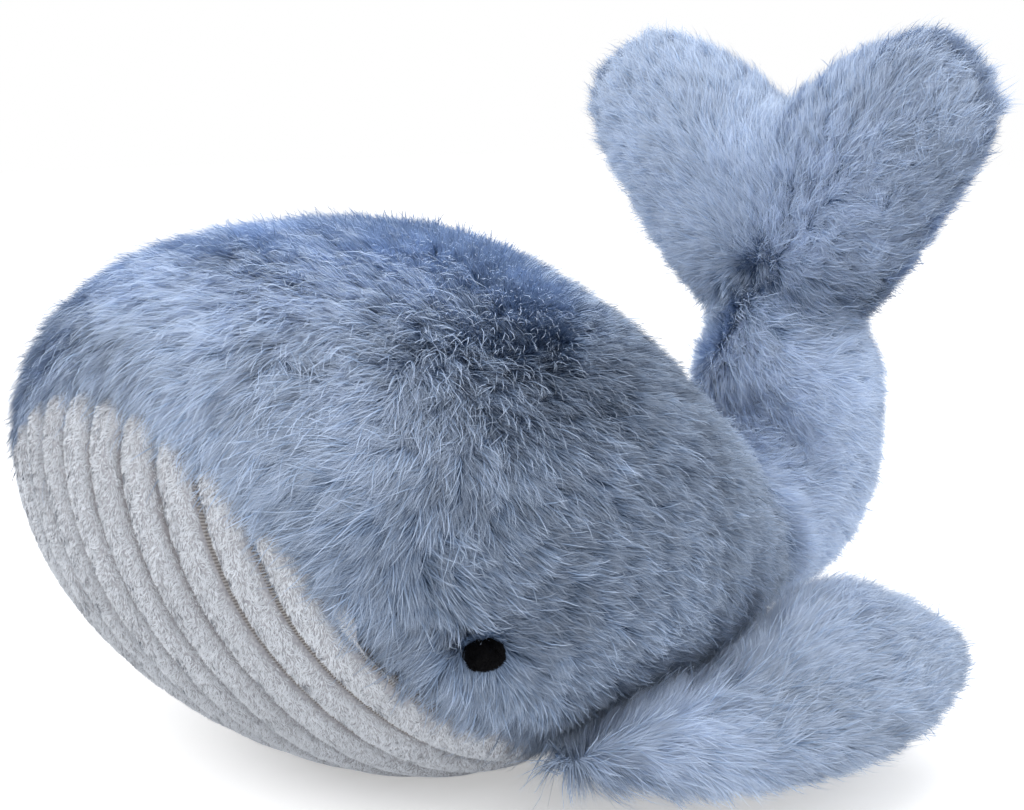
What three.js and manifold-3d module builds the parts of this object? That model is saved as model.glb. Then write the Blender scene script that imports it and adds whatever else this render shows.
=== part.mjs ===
// A stuffed toy whale: long fur cloth over its back, tail, fluke and flippers, a ribbed velour throat,
// thread eyes, loose filling in every limb and a weighted bag in the belly.
// Millimetres. The nose points along -Y, the whale's left side along +X, and +Z is up.
import * as THREE from "three";
import { mergeVertices } from "three/addons/utils/BufferGeometryUtils.js";
import Module from "manifold-3d";

const wasm = await Module();
wasm.setup();

// Body. While it is being shaped, its widest place is at y = 0 and the floor at z = 0
const bodyWidth = 227;
const bodyHeight = 173;
const headLength = 121;
const rearLength = 144;
const noseHeight = 103;
const peakForward = 14;
const planPower = 3.2;
const backPower = 3.7;
const bellyPower = 1.6;
const rearEaseShare = 0.5;
const rearTaperPower = 1.7;
const restForward = 12;
const restBack = 48;

// Tail: it leaves the body level, turns up and ends in a short stalk
const tailRootWidth = 86;
const tailRootTop = 81;
const tailRootBottom = 19.5;
const tailTurnRadius = 33.5;
const tailTurnAngle = 99;
const stalkLength = 34;
const stalkWidth = 82;
const stalkDepth = 61.5;
const stalkRounding = 12;
const stalkEndShare = 0.86;
const domeShares = [0, 0.45];

// Fluke: the heart-shaped fin on top of the stalk. Its outline runs from the bottom up the left lobe
const flukeSpan = 196;
const flukeHeight = 101.5;
const flukeThickness = 49;
const flukeLean = -1;
const flukeSweep = 7.6;
const flukeSeat = 7;
const heartCentreShare = 0.45;
const heartNotchShare = 0.742;
const heartShares = [
  [0.36, -0.08], [0.57, 0.08], [0.83, 0.39], [1, 0.65], [0.93, 0.86], [0.74, 0.99], [0.57, 1], [0.22, 0.88],
];
const heartPointShare = -0.1;

// Flippers: leaves that lie back along the flanks and slope down to just above the floor
const flipperLength = 158;
const flipperWidth = 73;
const flipperThickness = 38.5;
const flipperOut = 65;
const flipperForward = 24;
const flipperHeight = 37.7;
const flipperYaw = 5;
const flipperRoll = 19;
const flipperPitch = -5;
const leafCentreShares = [0.45, 0.48];
const leafShares = [
  [0, 0], [0.3, -0.02], [0.62, 0.1], [0.9, 0.32], [1, 0.55], [0.92, 0.78], [0.7, 0.95],
  [0.48, 1], [0.25, 0.92], [0.08, 0.74], [0, 0.5], [-0.05, 0.22],
];

// Cloth
const furPile = 10;
const furBacking = 1.5;
const throatDrop = 3;
const ribPitch = 14.6;
const ribCount = 14;
const ribDepth = 4;
const ribFadeHeight = 16;

// One rib from valley to valley: how far across it, and how much of the valley's depth. Then the
// places along a throat slice, under the body and up the nose, and the throat's sides beyond the ribs
const ribShares = [[0, 1], [0.28, 0.1], [0.72, 0.1]];
const sliceDownShares = [0.17, 0.34, 0.5, 0.66, 0.83, 1];
const sliceUpShares = [1, 0.45, 0.2];
const throatSideShares = [0.955, 0.985];

// Throat border as seen from the side: the four points of one curve, from over the nose to under the belly
const seamForwardShares = [0.98, 0.94, 0.48, -0.3];
const seamHeightShares = [0.85, 0.5, 0.125, 0];

// Eyes: thread patches, each in a pocket of the fur
const eyeWidth = 12;
const eyeHeight = 11;
const eyeForward = 56;
const eyeRise = 65;
const eyeDepth = 8;
const eyeSink = 1;
const eyeReach = 16;
const eyeShares = [
  [1, 0.1], [0.86, 0.62], [0.4, 0.92], [0.05, 0.8], [-0.35, 0.98], [-0.8, 0.62],
  [-0.98, 0.02], [-0.78, -0.62], [-0.3, -0.96], [0.35, -0.9], [0.8, -0.55],
];

// Weighted bag in the belly
const bagWidth = 110;
const bagLength = 120;
const bagHeight = 44;
const bagForward = 18;
const bagRise = 28;

// Joints. Angles are in degrees; a knuckle is the rounded end that the next piece turns round
const wagBack = 127;
const wagRange = 15;
const wagKnuckleReach = 36;
const wagKnuckleHeight = 30;
const bendTurnShare = 0.62;
const bendRange = 12;
const bendKnuckleReach = 27;
const bendKnuckleWidth = 37;
const foldForward = 12;
const foldBack = 10;
const foldKnuckleReach = 24;
const foldKnuckleWidth = 33;
const flapUp = 22;
const flapDown = 18;
const flapOut = 78;
const flapHeight = 26;
const flapBack = 6;
const flapTurn = 4;
const flapClearSteps = 4;

// The gap that every piece keeps to its neighbours, the flat cut where the toy stands,
// and how far a cut runs past what it cuts
const gap = 0.3;
const restCut = 0.5;
const overrun = 400;

// How finely the forms are faceted
const ringSides = 20;
const innerSides = 12;
const headRings = 9;
const rearRings = 6;
const turnRings = 4;
const innerRingShare = 0.6;
const knuckleSides = 14;
const seamSegments = 11;
const outlineSteps = 2;
const flukeRingShares = [0.46, 0.82, 1];
const flipperRingShares = [0.5, 0.84, 1];
const innerPillowRingShares = [0.6, 1];
const pillowRoundPower = 2.2;

const furCloth = furPile + furBacking;
const cloth = (color) => new THREE.MeshStandardMaterial({ color, roughness: 1, metalness: 0 });
const materials = {
  fur: cloth(0x8096b4),
  velour: cloth(0xbfc1c4),
  thread: cloth(0x0b0b0d),
  filling: cloth(0xf2f2ee),
  bag: cloth(0xd9d3c4),
};

const radians = THREE.MathUtils.degToRad;
const mix = THREE.MathUtils.lerp;
const within = THREE.MathUtils.clamp;
const vector = (x, y, z) => new THREE.Vector3(x, y, z);
const leftward = vector(1, 0, 0);
const backward = vector(0, 1, 0);
const upward = vector(0, 0, 1);
const floorPoint = vector(0, 0, 0);

// Solids

function solidOf(geometry) {
  const bare = geometry.clone();
  for (const name of Object.keys(bare.attributes)) {
    if (name !== "position") bare.deleteAttribute(name);
  }
  const merged = mergeVertices(bare);
  return new wasm.Manifold(
    new wasm.Mesh({
      numProp: 3,
      vertProperties: merged.attributes.position.array,
      triVerts: new Uint32Array(merged.index.array),
    }),
  );
}

// A closed skin over rings of points with a point at each end, facing out. The facets of its two
// halves mirror each other, so a piece's mirror image fits what the left one fits
function skinOver(rings, firstEnd, lastEnd) {
  const sides = rings[0].length;
  const points = [...rings.flat(), firstEnd, lastEnd];
  const faces = [];
  const lastRing = (rings.length - 1) * sides;
  for (let side = 0; side < sides; side += 1) {
    const next = (side + 1) % sides;
    for (let ring = 0; ring < lastRing; ring += sides) {
      const [near, far] = [ring, ring + sides];
      if (side < sides / 2) {
        faces.push(near + side, near + next, far + next, near + side, far + next, far + side);
      } else {
        faces.push(near + side, near + next, far + side, near + next, far + next, far + side);
      }
    }
    faces.push(points.length - 2, next, side);
    faces.push(points.length - 1, lastRing + side, lastRing + next);
  }
  const geometry = new THREE.BufferGeometry().setFromPoints(points);
  geometry.setIndex(faces);
  if (solidOf(geometry).volume() > 0) return geometry;
  geometry.setIndex(faces.reverse());
  return geometry;
}

// A prism over an outline drawn along two directions, between two distances along a third
function prism(outline, origin, across, up, along, from, to) {
  const shape = new THREE.Shape(outline.map(([x, y]) => new THREE.Vector2(x, y)));
  const geometry = new THREE.ExtrudeGeometry(shape, { depth: to - from, bevelEnabled: false });
  const place = new THREE.Matrix4().makeBasis(across, up, along);
  place.setPosition(origin.clone().addScaledVector(along, from));
  return solidOf(geometry.applyMatrix4(place));
}

// Everything on one side of a plane, as a block that runs past the whole toy
function halfSpace(origin, along, from) {
  const across = Math.abs(along.x) > Math.abs(along.z) ? backward : leftward;
  const side = across.clone().addScaledVector(along, -across.dot(along)).normalize();
  const up = along.clone().cross(side);
  const square = [[-overrun, -overrun], [overrun, -overrun], [overrun, overrun], [-overrun, overrun]];
  return prism(square, origin, side, up, along, from, overrun);
}

// An egg-shaped knuckle about an axis
function knuckle(pivot, axis, limb, reach, width) {
  const ball = new THREE.SphereGeometry(1, knuckleSides, knuckleSides / 2);
  ball.scale(reach, width, reach);
  const place = new THREE.Matrix4().makeBasis(limb, axis, limb.clone().cross(axis));
  place.setPosition(pivot);
  return solidOf(ball.applyMatrix4(place));
}

// What the two sides of a joint may fill. The limb turns towards axis x limb by as much as plus,
// and the other way by as much as minus, without meeting what it turns on
function jointSides({ pivot, axis, limb, reach, width, plus, minus }) {
  const turn = axis.clone().cross(limb);
  const rounding = 1 - Math.cos(Math.PI / knuckleSides);
  const clear = gap + Math.max(reach, width) * rounding;
  const root = halfSpace(pivot, limb.clone().negate(), 0);
  const outline = [
    [gap, 0],
    [gap + overrun * Math.tan(radians(minus)), -overrun],
    [overrun + overrun, -overrun],
    [overrun + overrun, overrun],
    [gap + overrun * Math.tan(radians(plus)), overrun],
  ];
  return {
    parent: root.add(knuckle(pivot, axis, limb, reach, width)),
    child: prism(outline, pivot, limb, turn, axis, -overrun, overrun).subtract(
      knuckle(pivot, axis, limb, reach + clear, width + clear),
    ),
  };
}

function ellipse(centre, across, up, half, depth, sides) {
  return Array.from({ length: sides }, (unused, side) => {
    const angle = (2 * Math.PI * side) / sides;
    const out = centre.clone().addScaledVector(across, half * Math.sin(angle));
    return out.addScaledVector(up, depth * Math.cos(angle));
  });
}

// Body and tail in one sweep

const roundOff = (share, power) => Math.sqrt(1 - share ** power);
const taper = (share) =>
  mix(share ** rearTaperPower, share * share * (3 - 2 * share), rearEaseShare);

// Half width, top and bottom of the body at one place of its length, drawn in by a distance, and how
// far its underside is down to the floor there
function bodySection(y, inset) {
  const head = within(-y / (headLength - inset), 0, 1);
  const rear = within(y / rearLength, 0, 1);
  const rise = within((-peakForward - y) / (headLength - inset - peakForward), 0, 1);
  const fall = within((peakForward + y) / (peakForward + rearLength), 0, 1);
  const lift = within((-restForward - y) / (headLength - inset - restForward), 0, 1);
  const climb = within((y - restBack) / (rearLength - restBack), 0, 1);
  const half = bodyWidth / 2 - inset;
  const top = bodyHeight - restCut - inset;
  const bottom = inset - restCut;
  const seatShare = roundOff(lift, bellyPower);
  return {
    seatShare,
    half: mix(half * roundOff(head, planPower), tailRootWidth / 2 - inset, taper(rear)),
    top: mix(mix(noseHeight, top, roundOff(rise, backPower)), tailRootTop - inset, taper(fall)),
    bottom: mix(mix(noseHeight, bottom, seatShare), tailRootBottom + inset, taper(climb)),
  };
}

// A place along the tail, from its root at 0 to the foot of the stalk at 1
function tailPlace(share) {
  const angle = radians(tailTurnAngle) * share;
  const middle = (tailRootTop + tailRootBottom) / 2;
  return {
    centre: vector(
      0,
      rearLength + tailTurnRadius * Math.sin(angle),
      middle + tailTurnRadius * (1 - Math.cos(angle)),
    ),
    along: vector(0, Math.cos(angle), Math.sin(angle)),
    up: vector(0, -Math.sin(angle), Math.cos(angle)),
    half: mix(tailRootWidth, stalkWidth, share) / 2,
    depth: mix(tailRootTop - tailRootBottom, stalkDepth, share) / 2,
  };
}

const stalkFoot = tailPlace(1);
const stalkTop = stalkFoot.centre.clone().addScaledVector(stalkFoot.along, stalkLength);

function bodyForm(inset, sides, ringShare = 1) {
  const rings = [];
  const places = [];
  const inHead = Math.round(headRings * ringShare);
  const inRear = Math.round(rearRings * ringShare);
  const inTurn = Math.round(turnRings * ringShare);
  const nose = headLength - inset;
  for (let ring = 1; ring <= inHead; ring += 1) {
    places.push(-nose * Math.cos((Math.PI / 2) * (ring / inHead)));
  }
  for (let ring = 1; ring <= inRear; ring += 1) {
    places.push((rearLength * ring) / inRear);
  }
  for (const y of places) {
    const { half, top, bottom } = bodySection(y, inset);
    const centre = vector(0, y, (top + bottom) / 2);
    rings.push(ellipse(centre, leftward, upward, half, (top - bottom) / 2, sides));
  }
  for (let ring = 1; ring <= inTurn; ring += 1) {
    const { centre, up, half, depth } = tailPlace(ring / inTurn);
    rings.push(ellipse(centre, leftward, up, half - inset, depth - inset, sides));
  }
  const { along, up, half, depth } = stalkFoot;
  const shoulder = stalkTop.clone().addScaledVector(along, -stalkRounding);
  const end = { half: half * stalkEndShare, depth: depth * stalkEndShare };
  rings.push(ellipse(shoulder, leftward, up, half - inset, depth - inset, sides));
  for (const share of domeShares) {
    const place = stalkTop.clone().addScaledVector(along, foldKnuckleReach * share);
    const round = roundOff(share, 2);
    rings.push(ellipse(place, leftward, up, end.half * round - inset, end.depth * round - inset, sides));
  }
  const pole = stalkTop.clone().addScaledVector(along, foldKnuckleReach - inset);
  return skinOver(rings, vector(0, -nose, noseHeight), pole);
}

// Throat

// One upright slice of the throat's outer face, along the body at a distance from the middle. The
// slice is drawn in further where a valley between two ribs runs, but not where the toy rests
function throatSlice(x, end, valleyShare) {
  const valley = throatDrop + ribDepth * valleyShare;

  const edge = (share, side, inset) => {
    const reach = bodyWidth / 2 - inset;
    const front = -(headLength - inset) * (1 - (x / reach) ** 2) ** (1 / planPower);
    const y = share > 1 ? end : front * Math.cos((Math.PI / 2) * share);
    const { half, top, bottom, seatShare } = bodySection(y, inset);
    const middle = (top + bottom) / 2;
    const extreme = side > 0 ? top : bottom - throatDrop * seatShare;
    const across = half > 0 ? x / half : 0;
    return vector(x, y, mix(middle, extreme, Math.sqrt(Math.max(0, 1 - across ** 2))));
  };
  const ribbed = (share, side) => {
    const crest = edge(share, side, throatDrop);
    const fade = within(crest.z / ribFadeHeight, 0, 1);
    return crest.lerp(edge(share, side, valley), fade);
  };
  return [
    ribbed(0, -1),
    ...sliceDownShares.map((share) => ribbed(share, -1)),
    ribbed(2, -1),
    ribbed(2, 1),
    ...sliceUpShares.map((share) => ribbed(share, 1)),
  ];
}

function ribbedForm() {
  const reach = bodyWidth / 2 - throatDrop;
  const placeOf = (rib) => reach * Math.sin((rib * ribPitch) / reach);
  const end = ribPitch - headLength * seamForwardShares.at(-1);
  const rings = throatSideShares.map((share) => throatSlice(-reach * share, 0, 0)).reverse();
  for (let rib = -ribCount / 2; rib < ribCount / 2; rib += 1) {
    for (const [stepShare, valleyShare] of ribShares) {
      rings.push(throatSlice(placeOf(rib + stepShare), end, valleyShare));
    }
  }
  rings.push(throatSlice(placeOf(ribCount / 2), end, 1));
  for (const share of throatSideShares) rings.push(throatSlice(reach * share, 0, 0));
  const side = vector(reach, 0, (bodyHeight + throatDrop) / 2);
  return skinOver(rings, side.clone().multiply(vector(-1, 1, 1)), side);
}

// The space in front of and below the throat's border, moved back and up by a clearance
function throatSpace(clearance) {
  const corners = seamForwardShares.map(
    (share, index) => new THREE.Vector2(-headLength * share, bodyHeight * seamHeightShares[index]),
  );
  const curve = new THREE.CubicBezierCurve(...corners);
  const border = curve.getPoints(seamSegments).map(({ x, y }) => [x + clearance, y + clearance]);
  const [first, last] = [border[0], border.at(-1)];
  const outline = [[-overrun, first[1]], [-overrun, -overrun], [last[0], -overrun], ...border.reverse()];
  return prism(outline, floorPoint, backward, upward, leftward, -overrun, overrun);
}

// Fluke and flippers: pillows over an outline, thickest in the middle

function outlineThrough(points, steps) {
  const curve = new THREE.CatmullRomCurve3(points, true, "centripetal");
  return curve.getPoints(points.length * steps).slice(0, -1);
}

// An outline, anticlockwise, moved inwards by a distance
function drawnIn(outline, distance) {
  return outline.map((point, index) => {
    const before = outline[(index + outline.length - 1) % outline.length];
    const after = outline[(index + 1) % outline.length];
    const along = after.clone().sub(before).normalize();
    return point.clone().add(vector(-along.y, along.x, 0).multiplyScalar(distance));
  });
}

function pillow(outline, centre, thickness, ringShares) {
  const ring = (share, side) => {
    const height = (side * thickness * Math.sqrt(1 - share ** pillowRoundPower)) / 2;
    return outline.map((point) => {
      const place = centre.clone().lerp(point, share);
      return place.setZ(height);
    });
  };
  const upper = ringShares.map((share) => ring(share, 1));
  const lower = ringShares.slice(0, -1).map((share) => ring(share, -1));
  const top = vector(centre.x, centre.y, thickness / 2);
  return skinOver([...upper, ...lower.reverse()], top, top.clone().setZ(-thickness / 2));
}

function heartOutline(steps) {
  const scale = vector(flukeSpan / 2, flukeHeight, 0);
  const left = heartShares.map(([x, y]) => vector(x, y, 0).multiply(scale));
  const right = heartShares.map(([x, y]) => vector(-x, y, 0).multiply(scale)).reverse();
  const point = vector(0, flukeHeight * heartPointShare, 0);
  const notch = vector(0, flukeHeight * heartNotchShare, 0);
  return outlineThrough([point, ...left, notch, ...right], steps);
}

// The fluke stands across the tail. Its lobes sweep forward of its middle
const flukeUp = vector(0, -Math.sin(radians(flukeLean)), Math.cos(radians(flukeLean)));
const flukeFace = leftward.clone().cross(flukeUp);
const flukeFoot = stalkTop.clone().addScaledVector(stalkFoot.along, flukeSeat);

function placeFluke(point) {
  const sweep = flukeSweep * (point.x / (flukeSpan / 2)) ** 2;
  return flukeFoot
    .clone()
    .addScaledVector(leftward, point.x)
    .addScaledVector(flukeUp, point.y)
    .addScaledVector(flukeFace, point.z + sweep);
}

const flipperTurn = new THREE.Euler(
  radians(-flipperPitch),
  radians(flipperRoll),
  radians(-flipperYaw),
  "ZXY",
);

function leafOutline(steps) {
  return outlineThrough(leafShares.map(([x, y]) => vector(x * flipperWidth, y * flipperLength, 0)), steps);
}

function shaped(geometry, placeOf) {
  const position = geometry.attributes.position;
  const point = vector(0, 0, 0);
  for (let index = 0; index < position.count; index += 1) {
    placeOf(point.fromBufferAttribute(position, index)).toArray(position.array, index * 3);
  }
  if (solidOf(geometry).volume() < 0) geometry.setIndex([...geometry.index.array].reverse());
  return geometry;
}

const heartCentre = vector(0, flukeHeight * heartCentreShare, 0);
const leafCentre = vector(flipperWidth * leafCentreShares[0], flipperLength * leafCentreShares[1], 0);

function flukeForm(inset, steps, ringShares) {
  const thickness = flukeThickness - 2 * inset;
  const outline = drawnIn(heartOutline(steps), inset);
  return shaped(pillow(outline, heartCentre, thickness, ringShares), placeFluke);
}

const flipperRoot = vector(flipperOut, -flipperForward, flipperHeight);
const layFlipper = (point) => point.applyEuler(flipperTurn).add(flipperRoot);

function flipperForm(inset, steps, ringShares) {
  const thickness = flipperThickness - 2 * inset;
  const outline = drawnIn(leafOutline(steps), inset);
  return shaped(pillow(outline, leafCentre, thickness, ringShares), layFlipper);
}

// Joints

const wagSection = bodySection(wagBack, 0);
const bendPlace = tailPlace(bendTurnShare);
const flapAxis = vector(-Math.sin(radians(flapTurn)), -Math.cos(radians(flapTurn)), 0);
const pivots = {
  body: floorPoint,
  tail_base: vector(0, wagBack, (wagSection.top + wagSection.bottom) / 2),
  tail: bendPlace.centre,
  fluke: stalkTop,
  flipper_left: vector(flapOut, flapBack, flapHeight),
  flipper_right: vector(-flapOut, flapBack, flapHeight),
};
const wag = jointSides({
  pivot: pivots.tail_base,
  axis: upward,
  limb: backward,
  reach: wagKnuckleReach,
  width: wagKnuckleHeight,
  plus: wagRange,
  minus: wagRange,
});
const bend = jointSides({
  pivot: pivots.tail,
  axis: leftward,
  limb: bendPlace.along,
  reach: bendKnuckleReach,
  width: bendKnuckleWidth,
  plus: bendRange,
  minus: bendRange,
});
const fold = jointSides({
  pivot: pivots.fluke,
  axis: leftward,
  limb: stalkFoot.along,
  reach: foldKnuckleReach,
  width: foldKnuckleWidth,
  plus: foldForward,
  minus: foldBack,
});

// Pieces

const aboveFloor = halfSpace(floorPoint, upward, 0);
const leftSide = halfSpace(floorPoint, leftward, gap / 2);
const throat = throatSpace(0);
const throatAndGap = throatSpace(gap);

// The body and tail drawn in by a distance, cut at the joints
function cutAtJoints(whole) {
  const tail = whole.intersect(wag.child);
  const upper = tail.intersect(bend.child);
  return {
    body: whole.intersect(wag.parent).intersect(aboveFloor),
    tail_base: tail.intersect(bend.parent).intersect(aboveFloor),
    tail: upper.intersect(fold.parent),
  };
}

const outside = solidOf(bodyForm(0, ringSides));
const inside = solidOf(bodyForm(furCloth, innerSides, innerRingShare));
const filled = solidOf(bodyForm(furCloth + gap, innerSides, innerRingShare));
const clothParts = cutAtJoints(outside.subtract(inside).intersect(leftSide));
const fillingParts = cutAtJoints(filled);

// The left side of the body at one place of its length and one height
function sidePoint(y, z) {
  const { half, top, bottom } = bodySection(y, 0);
  const rise = (z - (top + bottom) / 2) / ((top - bottom) / 2);
  return vector(half * Math.sqrt(1 - rise ** 2), y, z);
}

// The left eye's outline as a prism that stands square to the fur
function eyePrism(clearance) {
  const place = sidePoint(-eyeForward, eyeRise);
  const back = sidePoint(-eyeForward + eyeWidth, eyeRise).sub(place).normalize();
  const up = sidePoint(-eyeForward, eyeRise + eyeHeight).sub(place);
  up.addScaledVector(back, -up.dot(back)).normalize();
  const out = back.clone().cross(up);
  const outline = eyeShares.map(([x, y]) => [
    x * (eyeWidth / 2 + clearance),
    y * (eyeHeight / 2 + clearance),
  ]);
  return prism(outline, place, back, up, out, -eyeReach, eyeReach);
}

const eye = eyePrism(0)
  .intersect(solidOf(bodyForm(eyeSink, ringSides)))
  .subtract(solidOf(bodyForm(eyeDepth, ringSides)));
const eyePocket = eyePrism(gap).subtract(solidOf(bodyForm(eyeDepth + gap, ringSides)));

const bagBall = (clearance) => {
  const ball = new THREE.SphereGeometry(1, innerSides, innerSides / 2);
  ball.scale(bagWidth / 2 + clearance, bagHeight / 2 + clearance, bagLength / 2 + clearance);
  ball.rotateX(Math.PI / 2);
  return solidOf(ball.translate(0, -bagForward, bagRise));
};

const flukeCloth = solidOf(flukeForm(0, outlineSteps, flukeRingShares))
  .subtract(solidOf(flukeForm(furCloth, 1, innerPillowRingShares)))
  .intersect(fold.child);
const flukeFilling = solidOf(flukeForm(furCloth + gap, 1, innerPillowRingShares)).intersect(fold.child);
const flukeFront = halfSpace(flukeFoot, flukeFace, gap / 2);
const flukeBack = halfSpace(flukeFoot, flukeFace.clone().negate(), gap / 2);

// The space that the body takes as a flipper sees it through its whole swing
function bodySwing() {
  const grown = bodyForm(-gap, ringSides);
  const steps = Array.from({ length: flapClearSteps + 1 }, (unused, step) =>
    mix(-flapDown, flapUp, step / flapClearSteps),
  );
  const swings = steps.map((angle) => {
    const turned = grown.clone();
    const pivot = pivots.flipper_left;
    turned.translate(...pivot.clone().negate().toArray());
    turned.applyMatrix4(new THREE.Matrix4().makeRotationAxis(flapAxis, radians(-angle)));
    return solidOf(turned.translate(...pivot.toArray()));
  });
  return swings.concat(solidOf(grown)).reduce((all, next) => all.add(next));
}

const flipperFree = aboveFloor.subtract(bodySwing());
const flipperCloth = solidOf(flipperForm(0, outlineSteps, flipperRingShares))
  .subtract(solidOf(flipperForm(furCloth, 1, innerPillowRingShares)))
  .intersect(flipperFree);
const flipperFilling = solidOf(flipperForm(furCloth + gap, 1, innerPillowRingShares)).intersect(flipperFree);
const flipperNormal = upward.clone().applyEuler(flipperTurn);
const flipperTop = halfSpace(flipperRoot, flipperNormal, gap / 2);
const flipperBottom = halfSpace(flipperRoot, flipperNormal.clone().negate(), gap / 2);

// Assembly

// A solid as a geometry, without the crumbs that a cut leaves where it only grazes a form: of the
// faces that hang together, the largest lot is kept
function geometryOf(solid) {
  const { numProp, vertProperties, triVerts } = solid.getMesh();
  const links = Array.from({ length: vertProperties.length / numProp }, (unused, index) => index);
  const rootOf = (index) => {
    let root = index;
    while (links[root] !== root) root = links[root];
    return root;
  };
  const faces = [];
  for (let index = 0; index < triVerts.length; index += 3) {
    const face = [...triVerts.slice(index, index + 3)];
    faces.push(face);
    for (const corner of face) links[rootOf(corner)] = rootOf(face[0]);
  }
  const lots = new Map();
  for (const face of faces) {
    const root = rootOf(face[0]);
    lots.set(root, [...(lots.get(root) ?? []), face]);
  }
  const largest = [...lots.values()].reduce((all, next) => (next.length > all.length ? next : all));
  const geometry = new THREE.BufferGeometry();
  geometry.setAttribute("position", new THREE.BufferAttribute(new Float32Array(vertProperties), numProp));
  geometry.setIndex(largest.flat());
  return mergeVertices(geometry.toNonIndexed());
}

function mirrored(geometry) {
  const flipped = geometry.clone().scale(-1, 1, 1);
  flipped.setIndex([...flipped.index.array].reverse());
  return flipped;
}

const whale = new THREE.Group();
const limbs = {};
for (const [name, parent] of [
  ["body", ""], ["tail_base", "body"], ["tail", "tail_base"], ["fluke", "tail"],
  ["flipper_left", "body"], ["flipper_right", "body"],
]) {
  limbs[name] = new THREE.Group();
  limbs[name].name = name;
  const origin = parent ? pivots[parent] : floorPoint;
  limbs[name].position.copy(pivots[name]).sub(origin);
  (limbs[parent] ?? whale).add(limbs[name]);
}

function addPiece(limb, name, geometry, material) {
  const seated = geometry.clone().translate(...pivots[limb].clone().negate().toArray());
  seated.computeVertexNormals();
  const piece = new THREE.Mesh(seated, material.clone());
  piece.name = name;
  limbs[limb].add(piece);
}

function addPair(limbPair, names, solid, material) {
  const left = geometryOf(solid);
  addPiece(limbPair[0], names[0], left, material);
  addPiece(limbPair[1], names[1], mirrored(left), material);
}

const { fur, velour, thread, filling, bag } = materials;
const backPanel = clothParts.body.subtract(throatAndGap).subtract(eyePocket);
addPair(["body", "body"], ["back_panel_left", "back_panel_right"], backPanel, fur);
const throatPanel = solidOf(ribbedForm()).subtract(inside).intersect(throat).intersect(aboveFloor);
addPiece("body", "throat_panel", geometryOf(throatPanel), velour);
addPair(["body", "body"], ["eye_left", "eye_right"], eye, thread);
addPiece("body", "body_filling", geometryOf(fillingParts.body.subtract(bagBall(gap))), filling);
addPiece("body", "pellet_bag", geometryOf(filled.intersect(bagBall(0))), bag);

for (const limb of ["tail_base", "tail"]) {
  addPair([limb, limb], [`${limb}_panel_left`, `${limb}_panel_right`], clothParts[limb], fur);
  addPiece(limb, `${limb}_filling`, geometryOf(fillingParts[limb]), filling);
}

addPiece("fluke", "fluke_front_panel", geometryOf(flukeCloth.intersect(flukeFront)), fur);
addPiece("fluke", "fluke_back_panel", geometryOf(flukeCloth.intersect(flukeBack)), fur);
addPiece("fluke", "fluke_filling", geometryOf(flukeFilling), filling);

for (const [face, solid, material] of [
  ["top_panel", flipperCloth.intersect(flipperTop), fur],
  ["bottom_panel", flipperCloth.intersect(flipperBottom), fur],
  ["filling", flipperFilling, filling],
]) {
  const flippers = ["flipper_left", "flipper_right"];
  addPair(flippers, flippers.map((flipper) => `${flipper}_${face}`), solid, material);
}

// The origin is on the floor under the middle of the whole toy
const reach = new THREE.Box3().setFromObject(whale);
whale.position.y = -(reach.min.y + reach.max.y) / 2;

export default whale;
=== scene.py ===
import math

import bmesh
import bpy
import numpy as np
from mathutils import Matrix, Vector, kdtree
from mathutils.bvhtree import BVHTree


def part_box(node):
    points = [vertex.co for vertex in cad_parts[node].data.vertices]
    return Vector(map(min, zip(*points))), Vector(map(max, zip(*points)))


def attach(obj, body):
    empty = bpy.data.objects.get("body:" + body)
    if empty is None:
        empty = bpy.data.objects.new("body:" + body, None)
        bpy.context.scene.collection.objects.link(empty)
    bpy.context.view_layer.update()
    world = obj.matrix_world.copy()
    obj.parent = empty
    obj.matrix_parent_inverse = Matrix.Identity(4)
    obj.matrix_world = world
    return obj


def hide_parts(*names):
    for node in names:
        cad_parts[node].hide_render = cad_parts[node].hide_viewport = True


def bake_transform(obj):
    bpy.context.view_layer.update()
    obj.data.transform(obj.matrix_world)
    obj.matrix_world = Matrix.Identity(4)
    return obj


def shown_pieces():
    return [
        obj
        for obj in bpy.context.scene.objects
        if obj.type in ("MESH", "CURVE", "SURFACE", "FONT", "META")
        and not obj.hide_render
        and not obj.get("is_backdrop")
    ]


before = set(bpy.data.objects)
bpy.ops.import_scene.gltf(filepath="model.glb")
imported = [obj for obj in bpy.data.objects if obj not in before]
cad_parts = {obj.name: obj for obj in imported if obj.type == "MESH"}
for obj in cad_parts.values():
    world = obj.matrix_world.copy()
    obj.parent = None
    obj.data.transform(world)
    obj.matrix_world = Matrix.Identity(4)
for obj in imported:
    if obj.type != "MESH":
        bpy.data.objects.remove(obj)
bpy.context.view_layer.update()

scene = bpy.context.scene
mm = 0.001


# small helpers

def srgb(red, green, blue):  # a colour as the eye reads it, 0 to 255, made linear
    values = np.array([red, green, blue]) / 255
    linear = np.where(values <= 0.04045, values / 12.92, ((values + 0.055) / 1.055) ** 2.4)
    return (*[float(value) for value in linear], 1.0)


def unit(vectors):
    length = np.linalg.norm(vectors, axis=-1, keepdims=True)
    return vectors / np.maximum(length, 1e-9)


def mix(start, end, share):
    return start + (end - start) * share


def smoothStep(value, low, high):
    share = np.clip((value - low) / (high - low), 0, 1)
    return share * share * (3 - 2 * share)


def alongSurface(ways, normals):
    return ways - (ways * normals).sum(1, keepdims=True) * normals


def inScene(name, data):
    made = bpy.data.objects.new(name, data)
    scene.collection.objects.link(made)
    return made


def aimed(thing, place, target):
    thing.location = place
    thing.rotation_euler = (Vector(target) - Vector(place)).to_track_quat("-Z", "Y").to_euler()


def newPiece(name, mesh, material=None):
    piece = inScene(name, mesh)
    if material:
        mesh.materials.append(material)
    return piece


def meshFrom(shape, name):
    mesh = bpy.data.meshes.new(name)
    shape.to_mesh(mesh)
    shape.free()
    return mesh


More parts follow.
